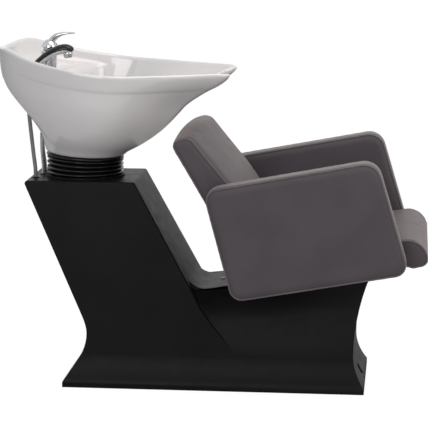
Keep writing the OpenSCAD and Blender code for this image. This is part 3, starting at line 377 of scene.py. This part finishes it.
index_red = Finish("red_index", Coat_Weight=0.4)
index_red.colours(index_red.noise(300), (0.42, 0.015, 0.015), (0.52, 0.03, 0.025))
index_red.rough(index_red.noise(300), 0.18, 0.26)

plywood = Finish("birch_plywood", IOR=1.45)
stretched = plywood.node("Mapping")
stretched.inputs["Scale"].default_value = (4, 40, 40)
plywood.link(plywood.place, stretched.inputs["Vector"])
plywood.colours(plywood.noise(4, 8, stretched.outputs[0]), (0.40, 0.27, 0.15),
                (0.60, 0.45, 0.29), 0.3, 0.7)
plywood.rough(plywood.noise(60), 0.55, 0.7)
plywood.bump((plywood.noise(30, 6, stretched.outputs[0]), 0.15),)

# %% [markdown]
# The supply hoses are sleeved in woven steel wire. The weave follows the hose, so it reads an
# attribute that the sweep writes: how far along the hose a point lies, and how far round.

# %% Woven steel sleeve
sleeve = Finish("woven_steel_sleeve", Metallic=1.0)
lay = sleeve.node("Attribute", attribute_name="lay").outputs["Vector"]
wires = []
for lean in (1, -1):
    mapped = sleeve.node("Mapping")
    mapped.inputs["Rotation"].default_value = (0, 0, lean * math.radians(45))
    sleeve.link(lay, mapped.inputs["Vector"])
    wave = sleeve.node("TexWave", Scale=0.55)
    sleeve.link(mapped.outputs[0], wave.inputs["Vector"])
    wires.append(wave.outputs["Fac"])
weave = sleeve.node("Math", operation="MAXIMUM")
for i, wire in enumerate(wires):
    sleeve.link(wire, weave.inputs[i])
sleeve.colours(weave.outputs[0], (0.25, 0.25, 0.27), (0.66, 0.67, 0.69), 0.5, 0.95)
sleeve.rough(sleeve.noise(200), 0.25, 0.38)
sleeve.bump((weave.outputs[0], 0.35),)

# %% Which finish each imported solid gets
finishes = {
    "shell_black": shell.material, "leatherette": leatherette, "ceramic": glaze.material,
    "chrome": chrome.material, "steel": powder.material, "zinc": zinc.material,
    "rubber": rubber.material, "plywood": plywood.material, "brass": brass.material,
    "white_plastic": nylon.material, "grey_plastic": grey_nylon.material,
    "gloss_black": gloss_black.material, "hose_grey": hose_skin.material,
    "hose_braid": sleeve.material, "index_red": index_red.material,
}
slot_of = {row["node"]: row["material_slot"] for row in frame["record"]["subparts"]}
body_of = {n: b for b, names in frame["record"]["behaviour"]["bodies"].items() for n in names}
for name, solid in frame["nodes"].items():
    for holder in solid.material_slots:
        holder.material = finishes[slot_of[name]]
print(len(slot_of), "solids have", len(finishes), "finishes")


def ease(node, width, **more):
    slot = slot_of[node]
    return eased(node, width, finishes[slot], slot, body_of[node], **more)


# %% [markdown]
# The shell's long edges are rounded in the mould, about as much as a pencil's side, and its broad
# faces stay flat beside them. Metal and plastic fittings that show get smaller radii.

# %% Ease the moulded and turned pieces
casing = ease("base_shell", 4.5 * MM, steps=3, turn=40, angle=50, broad=True)
flat = casing.modifiers.new("flat", "WEIGHTED_NORMAL")
flat.keep_sharp = True
settle(casing)
for node, width in (("service_panel", 1.0), ("bellows_base_ring", 0.8), ("bellows_top_ring", 0.8),
                    ("hose_grommets", 0.6), ("mixer_base_ring", 0.4), ("mixer_body", 0.8),
                    ("shower_socket", 0.7), ("drain_flange", 0.4), ("hair_strainer", 0.25),
                    ("shell_screw", 0.5), ("waste_nut", 0.5), ("mixer_nut", 0.4),
                    ("socket_nut", 0.4), ("waste_tail", 0.8), ("seat_plate", 0.8),
                    ("backrest_brackets", 0.6), ("arm_brackets", 0.6), ("seat_board", 1.0)):
    ease(node, width * MM)

# %% [markdown]
# The basin's frame tilts about the centre of its foot, so its points are written there and turned
# into the unit's frame. Stations run round the rim, and each one's wall climbs from foot to rim by
# its own share, slower at the neck and the rear than at the sides.

# %% Basin frame and tables
basin_at = Vector((-0.370, 0, 0.622))
basin_lean = math.radians(3.4)
basin_turn = Matrix.Rotation(basin_lean, 3, "Y")
shower_y = -60


def in_basin(x, y, z):
    return basin_at + basin_turn @ Vector((x * MM, y * MM, z * MM))


rim_half = [(318, 0, 212), (322, 28, 215), (338, 52, 226), (363, 69, 242), (387, 84, 253),
            (400, 104, 258), (389, 128, 259), (357, 143, 258), (299, 171, 255), (231, 209, 252),
            (162, 243, 249), (97, 266, 247), (27, 268, 250), (-40, 257, 257), (-113, 234, 268),
            (-165, 205, 281), (-208, 160, 293), (-237, 84, 285), (-249, 0, 279)]
rim_points = [Vector(p) for p in rim_half]
rim_points += [Vector((p.x, -p.y, p.z)) for p in rim_points[-2:0:-1]]
count = len(rim_points)
rim = []
for i in range(count):
    a, b, c, d = (rim_points[(i + k) % count] for k in (-1, 0, 1, 2))
    rim += [b, (9 * (b + c) - a - d) / 16]
share_at = (0, 0.06, 0.13, 0.2, 0.3, 0.45, 0.6, 0.7, 0.8, 0.9, 0.96, 1)
share_front = (0, 0.03, 0.14, 0.22, 0.33, 0.455, 0.545, 0.65, 0.79, 0.93, 0.985, 1)
share_side = (0, 0.08, 0.25, 0.4, 0.56, 0.74, 0.87, 0.915, 0.945, 0.975, 0.99, 1)
share_rear = (0, 0.03, 0.06, 0.09, 0.2, 0.52, 0.8, 0.905, 0.955, 0.985, 0.995, 1)
foot_r, basin_wall, ledge_z, ledge_front, bowl_floor = 108, 12, 222, -64, 24
crease_top, crease_depth = 0.82, 2.8


def look_up(shares, q):
    for i in range(1, len(share_at)):
        if q <= share_at[i]:
            t = (q - share_at[i - 1]) / (share_at[i] - share_at[i - 1])
            return shares[i - 1] + t * (shares[i] - shares[i - 1])
    return shares[-1]


def way(p):
    return math.atan2(p.y, p.x - 20)


def outer(p, q):
    a = way(p)
    front, rear = max(0, math.cos(a)) ** 2, max(0, -math.cos(a)) ** 2
    g = (front * look_up(share_front, q) + rear * look_up(share_rear, q)
         + (1 - front - rear) * look_up(share_side, q))
    foot = Vector((foot_r * math.cos(a), foot_r * math.sin(a)))
    flat = foot + (Vector((p.x, p.y)) - foot) * g
    return Vector((flat.x, flat.y, p.z * q))


def creased(p, q):
    """A soft step a hand's breadth below the rim, where the side wall turns in."""
    o = outer(p, q)
    climb, forward = min(1, max(0, (q - 0.5) / 0.3)), min(1, max(0, (p.x + 200) / 60))
    step = crease_depth * climb * forward if q < crease_top else 0
    away = math.hypot(o.x, o.y)
    return Vector((o.x * (1 - step / away), o.y * (1 - step / away), o.z))


def inner(p, z, hold):
    q = min(1, max(0.05, (z - 8) / p.z))
    o = outer(p, q)
    away = math.hypot(o.x, o.y)
    s = (away - basin_wall * (1.15 if q > 0.97 else 1)) / away
    x, y = o.x * s, o.y * s
    m = ledge_front * (1 - math.exp(-x / ledge_front)) / x if hold and x < -1 else 1
    return Vector((x * m, y * (m + (1 - m) * 0.45), z))


def around(rx, ry, z):
    return [Vector((rx * math.cos(way(p)), ry * math.sin(way(p)), z)) for p in rim]


print(len(rim), "stations round the rim")

# %% [markdown]
# A basin like this is slip cast: thick ceramic with every edge rolled by the glaze. The rings go up
# the outside, over the rim, down to the mixer ledge and into the bowl. Subdivision rounds what the
# slip would round, and holes and the plumber's pocket are cut afterwards so that they stay true.

# %% Cast the basin
steps = [around(0.6 * foot_r, 0.6 * foot_r, 0)]
steps += [[creased(p, q) for p in rim] for q in sorted(share_at + (0.815, 0.835))]
over = []
for p in rim:
    top, edge = inner(p, p.z, False), outer(p, 1)
    over.append(Vector(((top.x + edge.x) / 2, (top.y + edge.y) / 2, p.z + 4)))
steps.append(over)
steps.append([inner(p, p.z - 1, False) for p in rim])
steps.append([inner(p, p.z - 12, False) for p in rim])
steps.append([inner(p, min(p.z - 20, ledge_z + 3 * min(1, max(0, 1 - p.x / ledge_front))), False)
              for p in rim])
steps.append([inner(p, min(p.z - 26, ledge_z), True) for p in rim])
for h in (0.8, 0.6, 0.45, 0.3, 0.18):
    z = bowl_floor + (ledge_z - bowl_floor) * h
    steps.append([inner(p, min(p.z - 40, z), True) for p in rim])
steps += [around(62, 70, bowl_floor + 4), around(37, 37, bowl_floor)]
basin = make_piece("cast_basin", loft([[in_basin(*p) for p in ring] for ring in steps]),
                   glaze.material, "tilting_basin", 80)
refine(basin, 2, 180)


def drill(place, axis, radius, depth):
    bm = bmesh.new()
    bmesh.ops.create_cone(bm, cap_ends=True, segments=48, radius1=radius * MM, radius2=radius * MM,
                          depth=depth * MM)
    turn = Vector((0, 0, 1)).rotation_difference(axis).to_matrix().to_4x4()
    bmesh.ops.transform(bm, matrix=Matrix.Translation(place) @ turn, verts=bm.verts)
    return bm


def cut_away(piece, bm):
    mesh = bpy.data.meshes.new("cutter")
    bmesh.ops.recalc_face_normals(bm, faces=bm.faces)
    bm.to_mesh(mesh)
    bm.free()
    cutter = bpy.data.objects.new("cutter", mesh)
    studio.collection.objects.link(cutter)
    hole = piece.modifiers.new("hole", "BOOLEAN")
    hole.operation, hole.solver, hole.object = "DIFFERENCE", "EXACT", cutter
    settle(piece)
    bpy.data.objects.remove(cutter)


up = basin_turn @ Vector((0, 0, 1))
holes = {"drain": (0, 0, 20, 22), "mixer": (-114, 0, ledge_z - 5, 17.5),
         "shower": (-155, shower_y, ledge_z - 5, 14)}
for x, y, z, radius in holes.values():
    cut_away(basin, drill(in_basin(x, y, z), up, radius, 60))
pocket_half = 0.095
pocket = bmesh.new()
outline = [(-268, 150), (-242, ledge_z - 42), (-222, ledge_z - 14), (-90, ledge_z - 14),
           (-90, 100), (-110, 30), (-200, 30)]
face = pocket.faces.new([pocket.verts.new(in_basin(x, -pocket_half / MM, z)) for x, z in outline])
pushed = bmesh.ops.extrude_face_region(pocket, geom=[face])["geom"]
bmesh.ops.translate(pocket, vec=(0, 2 * pocket_half, 0),
                    verts=[g for g in pushed if isinstance(g, bmesh.types.BMVert)])
cut_away(basin, pocket)
shade(basin.data, 38)
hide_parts("basin")
print("basin has", len(basin.data.polygons), "faces")

# %% [markdown]
# The bellows are moulded rubber: fat folds with tight grooves. One fold profile is spun round the
# basin's axis, and the rings lean more and more towards the top, where the basin's tilt closes the
# folds at the front.

# %% Mould the bellows
low_z, high_z, fold_r, fold_deep, folds = 568.3, 616.7, 106, 12, 4
profile = []
for side, grow in ((1, 0), (-1, -3)):
    span = range(0, 12 * folds + 1) if side > 0 else range(12 * folds, -1, -1)
    for k in span:
        q = k / (12 * folds)
        swell = abs(math.sin(math.pi * q * folds)) ** 0.75
        profile.append((q, fold_r - fold_deep * (1 - swell) + grow))
bm = bmesh.new()
verts = [bm.verts.new((r * MM, 0, q)) for q, r in profile]
edges = [bm.edges.new((a, b)) for a, b in zip(verts, verts[1:] + verts[:1])]
bmesh.ops.spin(bm, geom=verts + edges, cent=(0, 0, 0), axis=(0, 0, 1), angle=2 * math.pi, steps=72,
               use_merge=True)
for v in bm.verts:
    q = v.co.z
    lean = Matrix.Rotation(basin_lean * q, 3, "Y")
    centre = Vector((-0.370, 0, (low_z + (high_z - low_z) * q) * MM))
    v.co = centre + lean @ Vector((v.co.x, v.co.y, 0))
bellows = make_piece("rubber_bellows", bm, rubber.material, None, 60)
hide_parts("bellows")
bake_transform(bellows)

# %% [markdown]
# Hoses run from under the basin into the column. Each is a circle swept along a smooth curve
# through the route's points. They hang from the basin and are held by the column.

# %% Sweep the hoses
def hose(name, node, points, radius, sides=16):
    route = smooth_route([Vector(p) * MM for p in points], 4 * MM)
    rings = tube_rings(route, radius * MM, sides)
    piece = make_piece(name, loft(rings), finishes[slot_of[node]], None, 60)
    far = [0.0]
    for a, b in zip(route, route[1:]):
        far.append(far[-1] + (b - a).length / MM)
    lay_on = piece.data.attributes.new("lay", "FLOAT_VECTOR", "POINT")
    for i, item in enumerate(lay_on.data):
        round_it = (i % sides) * 2 * math.pi * radius / sides
        item.vector = (far[min(i // sides, len(far) - 1)], round_it, 0)
    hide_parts(node)
    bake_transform(piece)
    return piece


def under(x, y, z):
    return tuple(in_basin(x, y, z) / MM)


waste_r, shower_r, supply_r = 18, 5.5, 4.5
hose("waste_run", "waste_hose", [
    under(0, 0, -84.5), under(0, 0, -104), (-375, 0, 490), (-372, 0, 460), (-362, 0, 430),
    (-346, 0, 400), (-326, 0, 370), (-306, 0, 340), (-288, 0, 310), (-272, 0, 275), (-262, 0, 240),
    (-256, 0, 205), (-255, 0, 190.5), (-255, 0, 170.3)], waste_r, 32)
hose("shower_run", "shower_hose", [
    under(-155, shower_y, 191.6), under(-155, shower_y, 180), (-514, -60, 790), (-516, -60, 765),
    (-515, -60, 740), (-512, -60, 705), (-508, -60, 665), (-504, -60, 625), (-500, -60, 590),
    (-499, -60, 563), (-496, -60, 540), (-487, -60, 515), (-474, -60, 488), (-459, -60, 460),
    (-446, -59, 430), (-435, -56, 404), (-427, -48, 384), (-422, -34, 370), (-420, -15, 365),
    (-422, 4, 370), (-427, 18, 384), (-435, 26, 404), (-446, 29, 430), (-459, 30, 460),
    (-472, 30, 488), (-483, 30, 515), (-490, 30, 540), (-492, 30, 563), (-494, 29, 590),
    (-496, 26, 625), (-495, 20, 660), (-492, 10, 700), (-489, -2, 740), (-486, -6, 770),
    under(-117.75, -6.5, 168), under(-117.75, -6.5, 181.7)], shower_r)
hose("cold_run", "cold_hose", [
    under(-106.5, 0, 181.7), under(-106.5, 0, 168), (-473, 0, 770), (-474, 0, 740),
    (-481, 0, 700), (-489, 0, 665), (-490, 0, 625), (-489, 0, 585), (-489, 0, 563),
    (-488.5, 0, 548), (-484, 0, 530), (-473, 2, 505), (-458, 5, 475), (-440, 9, 440),
    (-418, 14, 400), (-398, 18, 350), (-378, 22, 300), (-356, 24, 250), (-336, 24, 200),
    (-320, 22, 150), (-305, 19, 112), (-296, 18, 88), (-295, 18, 74.3)], supply_r)
hose("hot_run", "hot_hose", [
    under(-117.75, 6.5, 181.7), under(-117.75, 6.5, 168), (-485, 8, 770), (-488, 13, 740),
    (-492, 23, 710), (-496, 34, 680), (-498, 45, 650), (-498, 54, 620), (-495, 60, 585),
    (-495, 60, 563), (-494.5, 60, 548), (-490, 60, 530), (-479, 58, 505), (-462, 55, 470),
    (-442, 52, 435), (-420, 50, 400), (-400, 50, 350), (-379, 50, 300), (-357, 50, 250),
    (-337, 49, 200), (-320, 46, 150), (-305, 43, 112), (-296, 42, 88), (-295, 42, 74.3)], supply_r)

# %% [markdown]
# The mixer's lever is a paddle that grows out of a round hood: broad at the root, thin at the tip,
# and lifted in a shallow curve. Its sections are swept along that curve.

# %% Shape the lever
mixer_at = in_basin(-114, 0, ledge_z + 66)


def at_mixer(x, y, z):
    return mixer_at + basin_turn @ (Vector((x, y, z)) * MM)


def paddle(stations, place, sides=16):
    rings = []
    for i, (x, z, half_w, half_t) in enumerate(stations):
        a, b = stations[max(i - 1, 0)], stations[min(i + 1, len(stations) - 1)]
        along = Vector((b[0] - a[0], 0, b[1] - a[1])).normalized()
        up_here = Vector((-along.z, 0, along.x))
        ring = []
        for k in range(sides):
            t = 2 * math.pi * k / sides
            c, s = math.cos(t), math.sin(t)
            flat = (abs(c) ** 2.6 + abs(s) ** 2.6) ** (-1 / 2.6)
            across, rise = Vector((0, half_w * c * flat, 0)), up_here * (half_t * s * flat)
            ring.append(place(*(Vector((x, 0, z)) + across + rise)))
        rings.append(ring)
    return rings


hood_r, hood_inner_r, hood_lean = 22, 18.3, math.radians(12)
hood = bmesh.new()
arc = [hood.verts.new((hood_r * math.sin(a), 0, hood_r * math.cos(a)))
       for a in (math.radians(5 * k) for k in range(0, 21))]
arc += [hood.verts.new((hood_inner_r * math.sin(a), 0, hood_inner_r * math.cos(a)))
        for a in (math.radians(5 * k) for k in range(20, -1, -1))]
hood_edges = [hood.edges.new((a, b)) for a, b in zip(arc, arc[1:])]
bmesh.ops.spin(hood, geom=arc + hood_edges, cent=(0, 0, 0), axis=(0, 0, 1), angle=2 * math.pi,
               steps=48, use_merge=True)
for v in hood.verts:
    v.co = at_mixer(*(Matrix.Rotation(hood_lean, 3, "Y") @ v.co))
blade = loft(paddle([(0, 12, 9, 8), (9, 23, 11.5, 9), (19, 32.5, 12.5, 7.6), (31, 38, 12.5, 5.4),
                     (43, 40.8, 11.5, 3.8), (54, 42.2, 10, 2.8), (63, 43, 8.5, 2.2),
                     (67, 43.2, 7, 1.8)], at_mixer))
lever_mesh = bpy.data.meshes.new("blade_part")
blade.to_mesh(lever_mesh)
blade.free()
hood.from_mesh(lever_mesh)
lever = make_piece("mixer_lever_form", hood, chrome.material, "lever", 40)
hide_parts("mixer_lever")

# %% [markdown]
# The hand shower is a curved handle with a black grip on top and a chrome underside. One clipped
# ring, swept twice, makes both halves; the nozzle is a short turned collar.

# %% Shape the hand shower
shower_line = [(-143.2, 237.2, 9, 9), (-136, 246, 9.5, 10), (-122, 260, 10.5, 12),
               (-106, 273, 11.5, 13.5), (-89, 283.5, 12.5, 15), (-72, 290.5, 13.5, 16),
               (-57, 293.5, 13.5, 16.5), (-45, 291, 12, 15), (-38, 287, 8, 10)]
grip_from = -0.2


def handle_rings(low, high, sides=32):
    rings = []
    for i, (x, z, deep, half_w) in enumerate(shower_line):
        a, b = shower_line[max(i - 1, 0)], shower_line[min(i + 1, len(shower_line) - 1)]
        run = Vector((b[0] - a[0], b[1] - a[1])).normalized()
        ring = []
        for k in range(sides):
            t = 2 * math.pi * k / sides
            s = min(high, max(low, math.sin(t)))
            ring.append(in_basin(x - run.y * deep * s, shower_y + half_w * math.cos(t),
                                 z + run.x * deep * s))
        rings.append(ring)
    return rings


under_half = make_piece("shower_underside", loft(handle_rings(-1, grip_from)), chrome.material,
                        "shower", 40)
refine(under_half, 1, 45)
grip = make_piece("shower_grip_form", loft(handle_rings(grip_from + 0.01, 1)),
                  gloss_black.material, "shower", 40)
refine(grip, 1, 45)
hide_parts("shower_grip")
shank = bmesh.new()
shank_lean, nozzle_lean = math.radians(38), math.radians(172)
turned = {"shank": (1.4, 20.4, 9, 9, in_basin(-155, shower_y, ledge_z), shank_lean),
          "nozzle": (0, 12, 13, 11.5, in_basin(-52, shower_y, 283), nozzle_lean)}
for low, high, r0, r1, place, lean in turned.values():
    axis = basin_turn @ Vector((math.sin(lean), 0, math.cos(lean)))
    made = bmesh.ops.create_cone(shank, cap_ends=True, segments=48, radius1=r0 * MM,
                                 radius2=r1 * MM, depth=(high - low) * MM)
    turn = Vector((0, 0, 1)).rotation_difference(axis).to_matrix().to_4x4()
    middle = place + axis * ((low + high) / 2 * MM)
    bmesh.ops.transform(shank, matrix=Matrix.Translation(middle) @ turn, verts=made["verts"])
bmesh.ops.bevel(shank, geom=[e for e in shank.edges if e.calc_face_angle(0) > 0.8], offset=0.5 * MM,
                segments=2, profile=0.5, affect="EDGES", material=-1)
make_piece("shower_collar", shank, chrome.material, "shower", 40)
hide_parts("hand_shower")

# %% [markdown]
# Upholstery. Every pad is cut foam under a tight leatherette cover. The form is drawn in side view,
# extruded and bevelled, then remeshed to an even grid and blown up a little as cloth: the cover
# bulges between its seams as a real one does. It only moves outward, and a cap keeps it within the
# space of its solid. The curves of the outlines are given as corners with a radius each.

# %% Pads as cloth
cloth_moments = 20


def rounded(corners, radii, n):
    out = []
    for i, p in enumerate(corners):
        p = Vector(p)
        a = (Vector(corners[i - 1]) - p).normalized()
        b = (Vector(corners[(i + 1) % len(corners)]) - p).normalized()
        half = a.angle(b) / 2
        r = radii[i]
        centre = p + (a + b).normalized() * r / math.sin(half)
        s, e = p + a * r / math.tan(half) - centre, p + b * r / math.tan(half) - centre
        t0 = math.atan2(s.y, s.x)
        dt = math.atan2(s.x * e.y - s.y * e.x, s.dot(e))
        out += [(centre.x + r * math.cos(t0 + dt * k / n), centre.y + r * math.sin(t0 + dt * k / n))
                for k in range(n + 1)]
    return out


def plump(piece, voxel, cap, pressure=4, crown=None):
    even = piece.modifiers.new("even", "REMESH")
    even.mode, even.voxel_size = "VOXEL", voxel
    settle(piece)
    if crown:
        for vert in piece.data.vertices:
            vert.co = crown(vert.co)
    rest = [v.co.copy() for v in piece.data.vertices]
    out = [v.normal.copy() for v in piece.data.vertices]
    cloth = piece.modifiers.new("cover", "CLOTH")
    cloth.settings.use_pressure = True
    cloth.settings.uniform_pressure_force = pressure
    cloth.settings.effector_weights.gravity = 0
    for moment in range(1, cloth_moments + 1):
        studio.frame_set(moment)
    settle(piece)
    studio.frame_set(1)
    for vert, was, normal in zip(piece.data.vertices, rest, out):
        vert.co = was + normal * min(cap, max(0, (vert.co - was).dot(normal)))
    even = piece.modifiers.new("flow", "SMOOTH")
    even.factor, even.iterations = 0.5, 8
    refine(piece, 1, 180)


def slab(points, y0, y1, edge, place):
    """A side outline pushed out from y0 to y1, with rounded long edges."""
    bm = bmesh.new()
    face = bm.faces.new([bm.verts.new(place(x, y0, z)) for x, z in points])
    pushed = bmesh.ops.extrude_face_region(bm, geom=[face])["geom"]
    shift = place(0, y1, 0) - place(0, y0, 0)
    bmesh.ops.translate(bm, vec=shift,
                        verts=[g for g in pushed if isinstance(g, bmesh.types.BMVert)])
    bmesh.ops.recalc_face_normals(bm, faces=bm.faces)
    big = sorted(bm.faces, key=lambda f: -len(f.verts))[:2]
    ring = list({e for f in big for e in f.edges})
    bmesh.ops.bevel(bm, geom=ring, offset=edge, segments=4, profile=0.5, affect="EDGES",
                    material=-1, clamp_overlap=True)
    return bm


def plain(x, y, z):
    return Vector((x, y, z)) * MM


# %% [markdown]
# Piping is a cord in a folded strip, sewn into the seam between the flat side and the edge band. It
# follows the outline, pulled onto the pad's finished surface.

# %% Sew the piping
def piping(name, points, pad, radius=2.2):
    tree = BVHTree.FromObject(pad, bpy.context.evaluated_depsgraph_get())
    route = []
    for p in points:
        spot, normal, _, _ = tree.find_nearest(p)
        route.append(spot + normal * (0.35 * radius * MM))
    rings = tube_rings(route, radius * MM, 10, closed=True)
    # The piping's lighter colour is a painted highlight.
    return make_piece(name, loft(rings, joined=True), piping_cover_painted_highlight, "base", 70)


def even_loop(points, step):
    """Points at even steps round a closed loop."""
    p = [Vector(q) for q in points] + [Vector(points[0])]
    out, left = [], 0.0
    for a, b in zip(p, p[1:]):
        length = (b - a).length
        while left < length:
            out.append(a + (b - a) * (left / length))
            left += step
        left -= length
    return out


arm_outline = rounded([(66, 277), (533, 361), (443, 662), (-14, 576)], (37, 33, 48, 38), 10)


def inset(points, d):
    """The outline moved in by d along each corner's own normal."""
    out = []
    for i, p in enumerate(points):
        a, b, c = Vector(points[i - 1]), Vector(p), Vector(points[(i + 1) % len(points)])
        along = (c - a).normalized()
        out.append((b.x - along.y * d, b.y + along.x * d))
    return out


arm_inner, arm_outer, arm_round, seam_in = 248.5, 323, 11, 1.5
for hand, side in (("left", 1), ("right", -1)):
    bm = slab(inset(arm_outline, seam_in), side * arm_inner, side * arm_outer, arm_round * MM, plain)
    pad = make_piece("arm_cover_" + hand, bm, leatherette, "base", 180)
    plump(pad, 5.5 * MM, 1.5 * MM)
    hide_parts("arm_pad_" + hand)
    for where, y in (("outer", arm_outer - seam_in), ("inner", arm_inner + seam_in)):
        seam = even_loop([plain(x, side * y, z) for x, z in inset(arm_outline, 3)], 5 * MM)
        piping("arm_piping_" + where + "_" + hand, seam, pad)

# %% [markdown]
# The seat: a crowned top that rolls over the nose, between two flat sides. It is drawn in the raked
# frame of the seat.

# %% Seat cushion
seat_at = Vector((-0.037, 0, 0.267))
seat_turn = Matrix.Rotation(math.radians(-10), 3, "Y")


def at_seat(x, y, z):
    return seat_at + seat_turn @ (Vector((x, y, z)) * MM)


seat_half = 241
seat_line = rounded([(158, 5), (560, 4), (584, -5), (629, -5), (629, 73), (400, 80), (250, 74),
                     (163, 27)], (3, 20, 20, 22, 54, 60, 8, 8), 8)
bm = slab(inset(seat_line, 1.0), -seat_half, seat_half, 7 * MM, at_seat)
seat = make_piece("seat_cover", bm, leatherette, "base", 180)
plump(seat, 6 * MM, 2.5 * MM)
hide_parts("seat_cushion")
for where, y in (("left", seat_half), ("right", -seat_half)):
    piping("seat_piping_" + where,
           even_loop([at_seat(x, y, z) for x, z in inset(seat_line, 2)], 5 * MM), seat)

# %% [markdown]
# The backrest: a foam wedge, thick at the foot and slim at the top, with a front that rises towards
# the middle. Its cover turns over the top of the board and hangs down behind it, and ends above the
# brackets.

# %% Backrest
back_foot, back_head = Vector((92, 352)), Vector((-93, 682))
run = (back_head - back_foot).normalized()
back_len = (back_head - back_foot).length
back_half, crown_ahead, crown_up = 239, 26, 8


def at_back(x, y, z):
    p = back_foot + Vector((run.y, -run.x)) * x + run * z
    return plain(p.x, y, p.y)


back_line = rounded([(7, 10), (96, -19), (78, 200), (46, back_len + 2), (-9, back_len + 14),
                     (-3, 88), (7, 80)], (4, 24, 500, 24, 17, 2, 2), 8)


def back_crown(place):
    """The front and the top rise towards the middle of the width."""
    middle = max(0, 1 - (place.y / (back_half * MM)) ** 2)
    from_foot = (place - at_back(0, 0, 0)) / MM
    ahead, along = Vector((run.y, 0, -run.x)), Vector((run.x, 0, run.y))
    x, z = from_foot.dot(ahead), from_foot.dot(along)
    forward = crown_ahead * middle * min(1, max(0, (x - 5) / 40))
    rise = crown_up * middle * min(1, max(0, (z - back_len + 60) / 60))
    return place + (ahead * forward + along * rise) * MM


bm = slab(back_line, -back_half, back_half, 7 * MM, at_back)
back = make_piece("backrest_cover", bm, leatherette, "base", 180)
plump(back, 6 * MM, 2.5 * MM, crown=back_crown)
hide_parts("backrest_cushion")
for where, y in (("left", back_half), ("right", -back_half)):
    piping("back_piping_" + where,
           even_loop([at_back(x, y, z) for x, z in inset(back_line, 1)], 5 * MM), back)
ease("backrest_board", 3 * MM, steps=3)

# %% [markdown]
# The studio: a pale floor that runs to the horizon, one broad soft light above and in front, and
# weaker ones to the sides. The floor and the world look white to the camera and in reflections, and
# only the lamps and a dim world light the unit. Two black flags outside the picture draw the dark
# edges in the chrome.

# %% Floor, world and lights
floor_grey, floor_glow, floor_share, world_dim = 0.55, 1.1, 0.88, 0.42
paper = bpy.data.materials.new("pale_floor")
paper.use_nodes = True
tree = paper.node_tree
surface = tree.nodes["Principled BSDF"]
surface.inputs["Base Color"].default_value = (floor_grey, floor_grey, floor_grey, 1)
surface.inputs["Roughness"].default_value = 0.7
glow = tree.nodes.new("ShaderNodeEmission")
glow.inputs["Color"].default_value = (1, 1, 1, 1)
glow.inputs["Strength"].default_value = floor_glow
rays = tree.nodes.new("ShaderNodeLightPath")
share = tree.nodes.new("ShaderNodeMath")
share.operation = "MULTIPLY"
share.inputs[1].default_value = floor_share
mixed = tree.nodes.new("ShaderNodeMixShader")
tree.links.new(rays.outputs["Is Camera Ray"], share.inputs[0])
tree.links.new(share.outputs[0], mixed.inputs[0])
tree.links.new(surface.outputs[0], mixed.inputs[1])
tree.links.new(glow.outputs[0], mixed.inputs[2])
tree.links.new(mixed.outputs[0], tree.nodes["Material Output"].inputs["Surface"])
bm = bmesh.new()
bmesh.ops.create_grid(bm, x_segments=1, y_segments=1, size=60)
floor = make_piece("studio_floor", bm, paper, None, 30)

for side, (x, y, width) in {"left": (-2.3, -3.4, 0.9), "right": (2.5, -2.8, 0.5)}.items():
    bm = bmesh.new()
    bmesh.ops.create_grid(bm, x_segments=1, y_segments=1, size=1)
    facing = Vector((-x, -y, 0)).to_track_quat("Z", "Y").to_matrix().to_4x4()
    stretch = Matrix.Diagonal((width / 2, 1.4, 1, 1))
    place = Matrix.Translation((x, y, 1.6)) @ facing @ stretch
    bmesh.ops.transform(bm, matrix=place, verts=bm.verts)
    make_piece("black_flag_" + side, bm, rubber.material, None, 30)

world = bpy.data.worlds.new("studio_world")
studio.world = world
world.use_nodes = True
tree = world.node_tree
tree.nodes.clear()
rays = tree.nodes.new("ShaderNodeLightPath")
seen = []
for name in ("Is Camera Ray", "Is Glossy Ray", "Is Transmission Ray"):
    if seen:
        bright = tree.nodes.new("ShaderNodeMath")
        bright.operation = "MAXIMUM"
        tree.links.new(seen[-1], bright.inputs[0])
        tree.links.new(rays.outputs[name], bright.inputs[1])
        seen.append(bright.outputs[0])
    else:
        seen.append(rays.outputs[name])
dim = tree.nodes.new("ShaderNodeBackground")
dim.inputs["Color"].default_value = (1, 1, 1, 1)
dim.inputs["Strength"].default_value = world_dim
white = tree.nodes.new("ShaderNodeBackground")
white.inputs["Color"].default_value = (1, 1, 1, 1)
white.inputs["Strength"].default_value = 1.0
mixed = tree.nodes.new("ShaderNodeMixShader")
out = tree.nodes.new("ShaderNodeOutputWorld")
tree.links.new(seen[-1], mixed.inputs[0])
tree.links.new(dim.outputs[0], mixed.inputs[1])
tree.links.new(white.outputs[0], mixed.inputs[2])
tree.links.new(mixed.outputs[0], out.inputs["Surface"])


def lamp(name, place, aim, size, power, tint):
    light = bpy.data.lights.new(name, "AREA")
    light.color = tint
    light.shape, light.size, light.energy = "SQUARE", size, power
    holder = bpy.data.objects.new(name, light)
    holder.location = place
    holder.rotation_euler = (Vector(aim) - Vector(place)).to_track_quat("-Z", "Y").to_euler()
    studio.collection.objects.link(holder)


lamp("overhead", (0.9, -0.6, 3.4), (0, 0, 0.5), 2.6, 50, (1.0, 0.93, 0.89))
lamp("right_side", (3.4, -1.6, 1.7), (0.2, 0, 0.5), 2.0, 30, (1.0, 0.92, 0.87))
lamp("front_fill", (-1.2, -4.2, 1.6), (0, 0, 0.5), 2.4, 49, (1.0, 0.98, 1.0))

# %% [markdown]
# Last, the view settings stay plain.

# %% View settings
studio.view_settings.view_transform = "Standard"
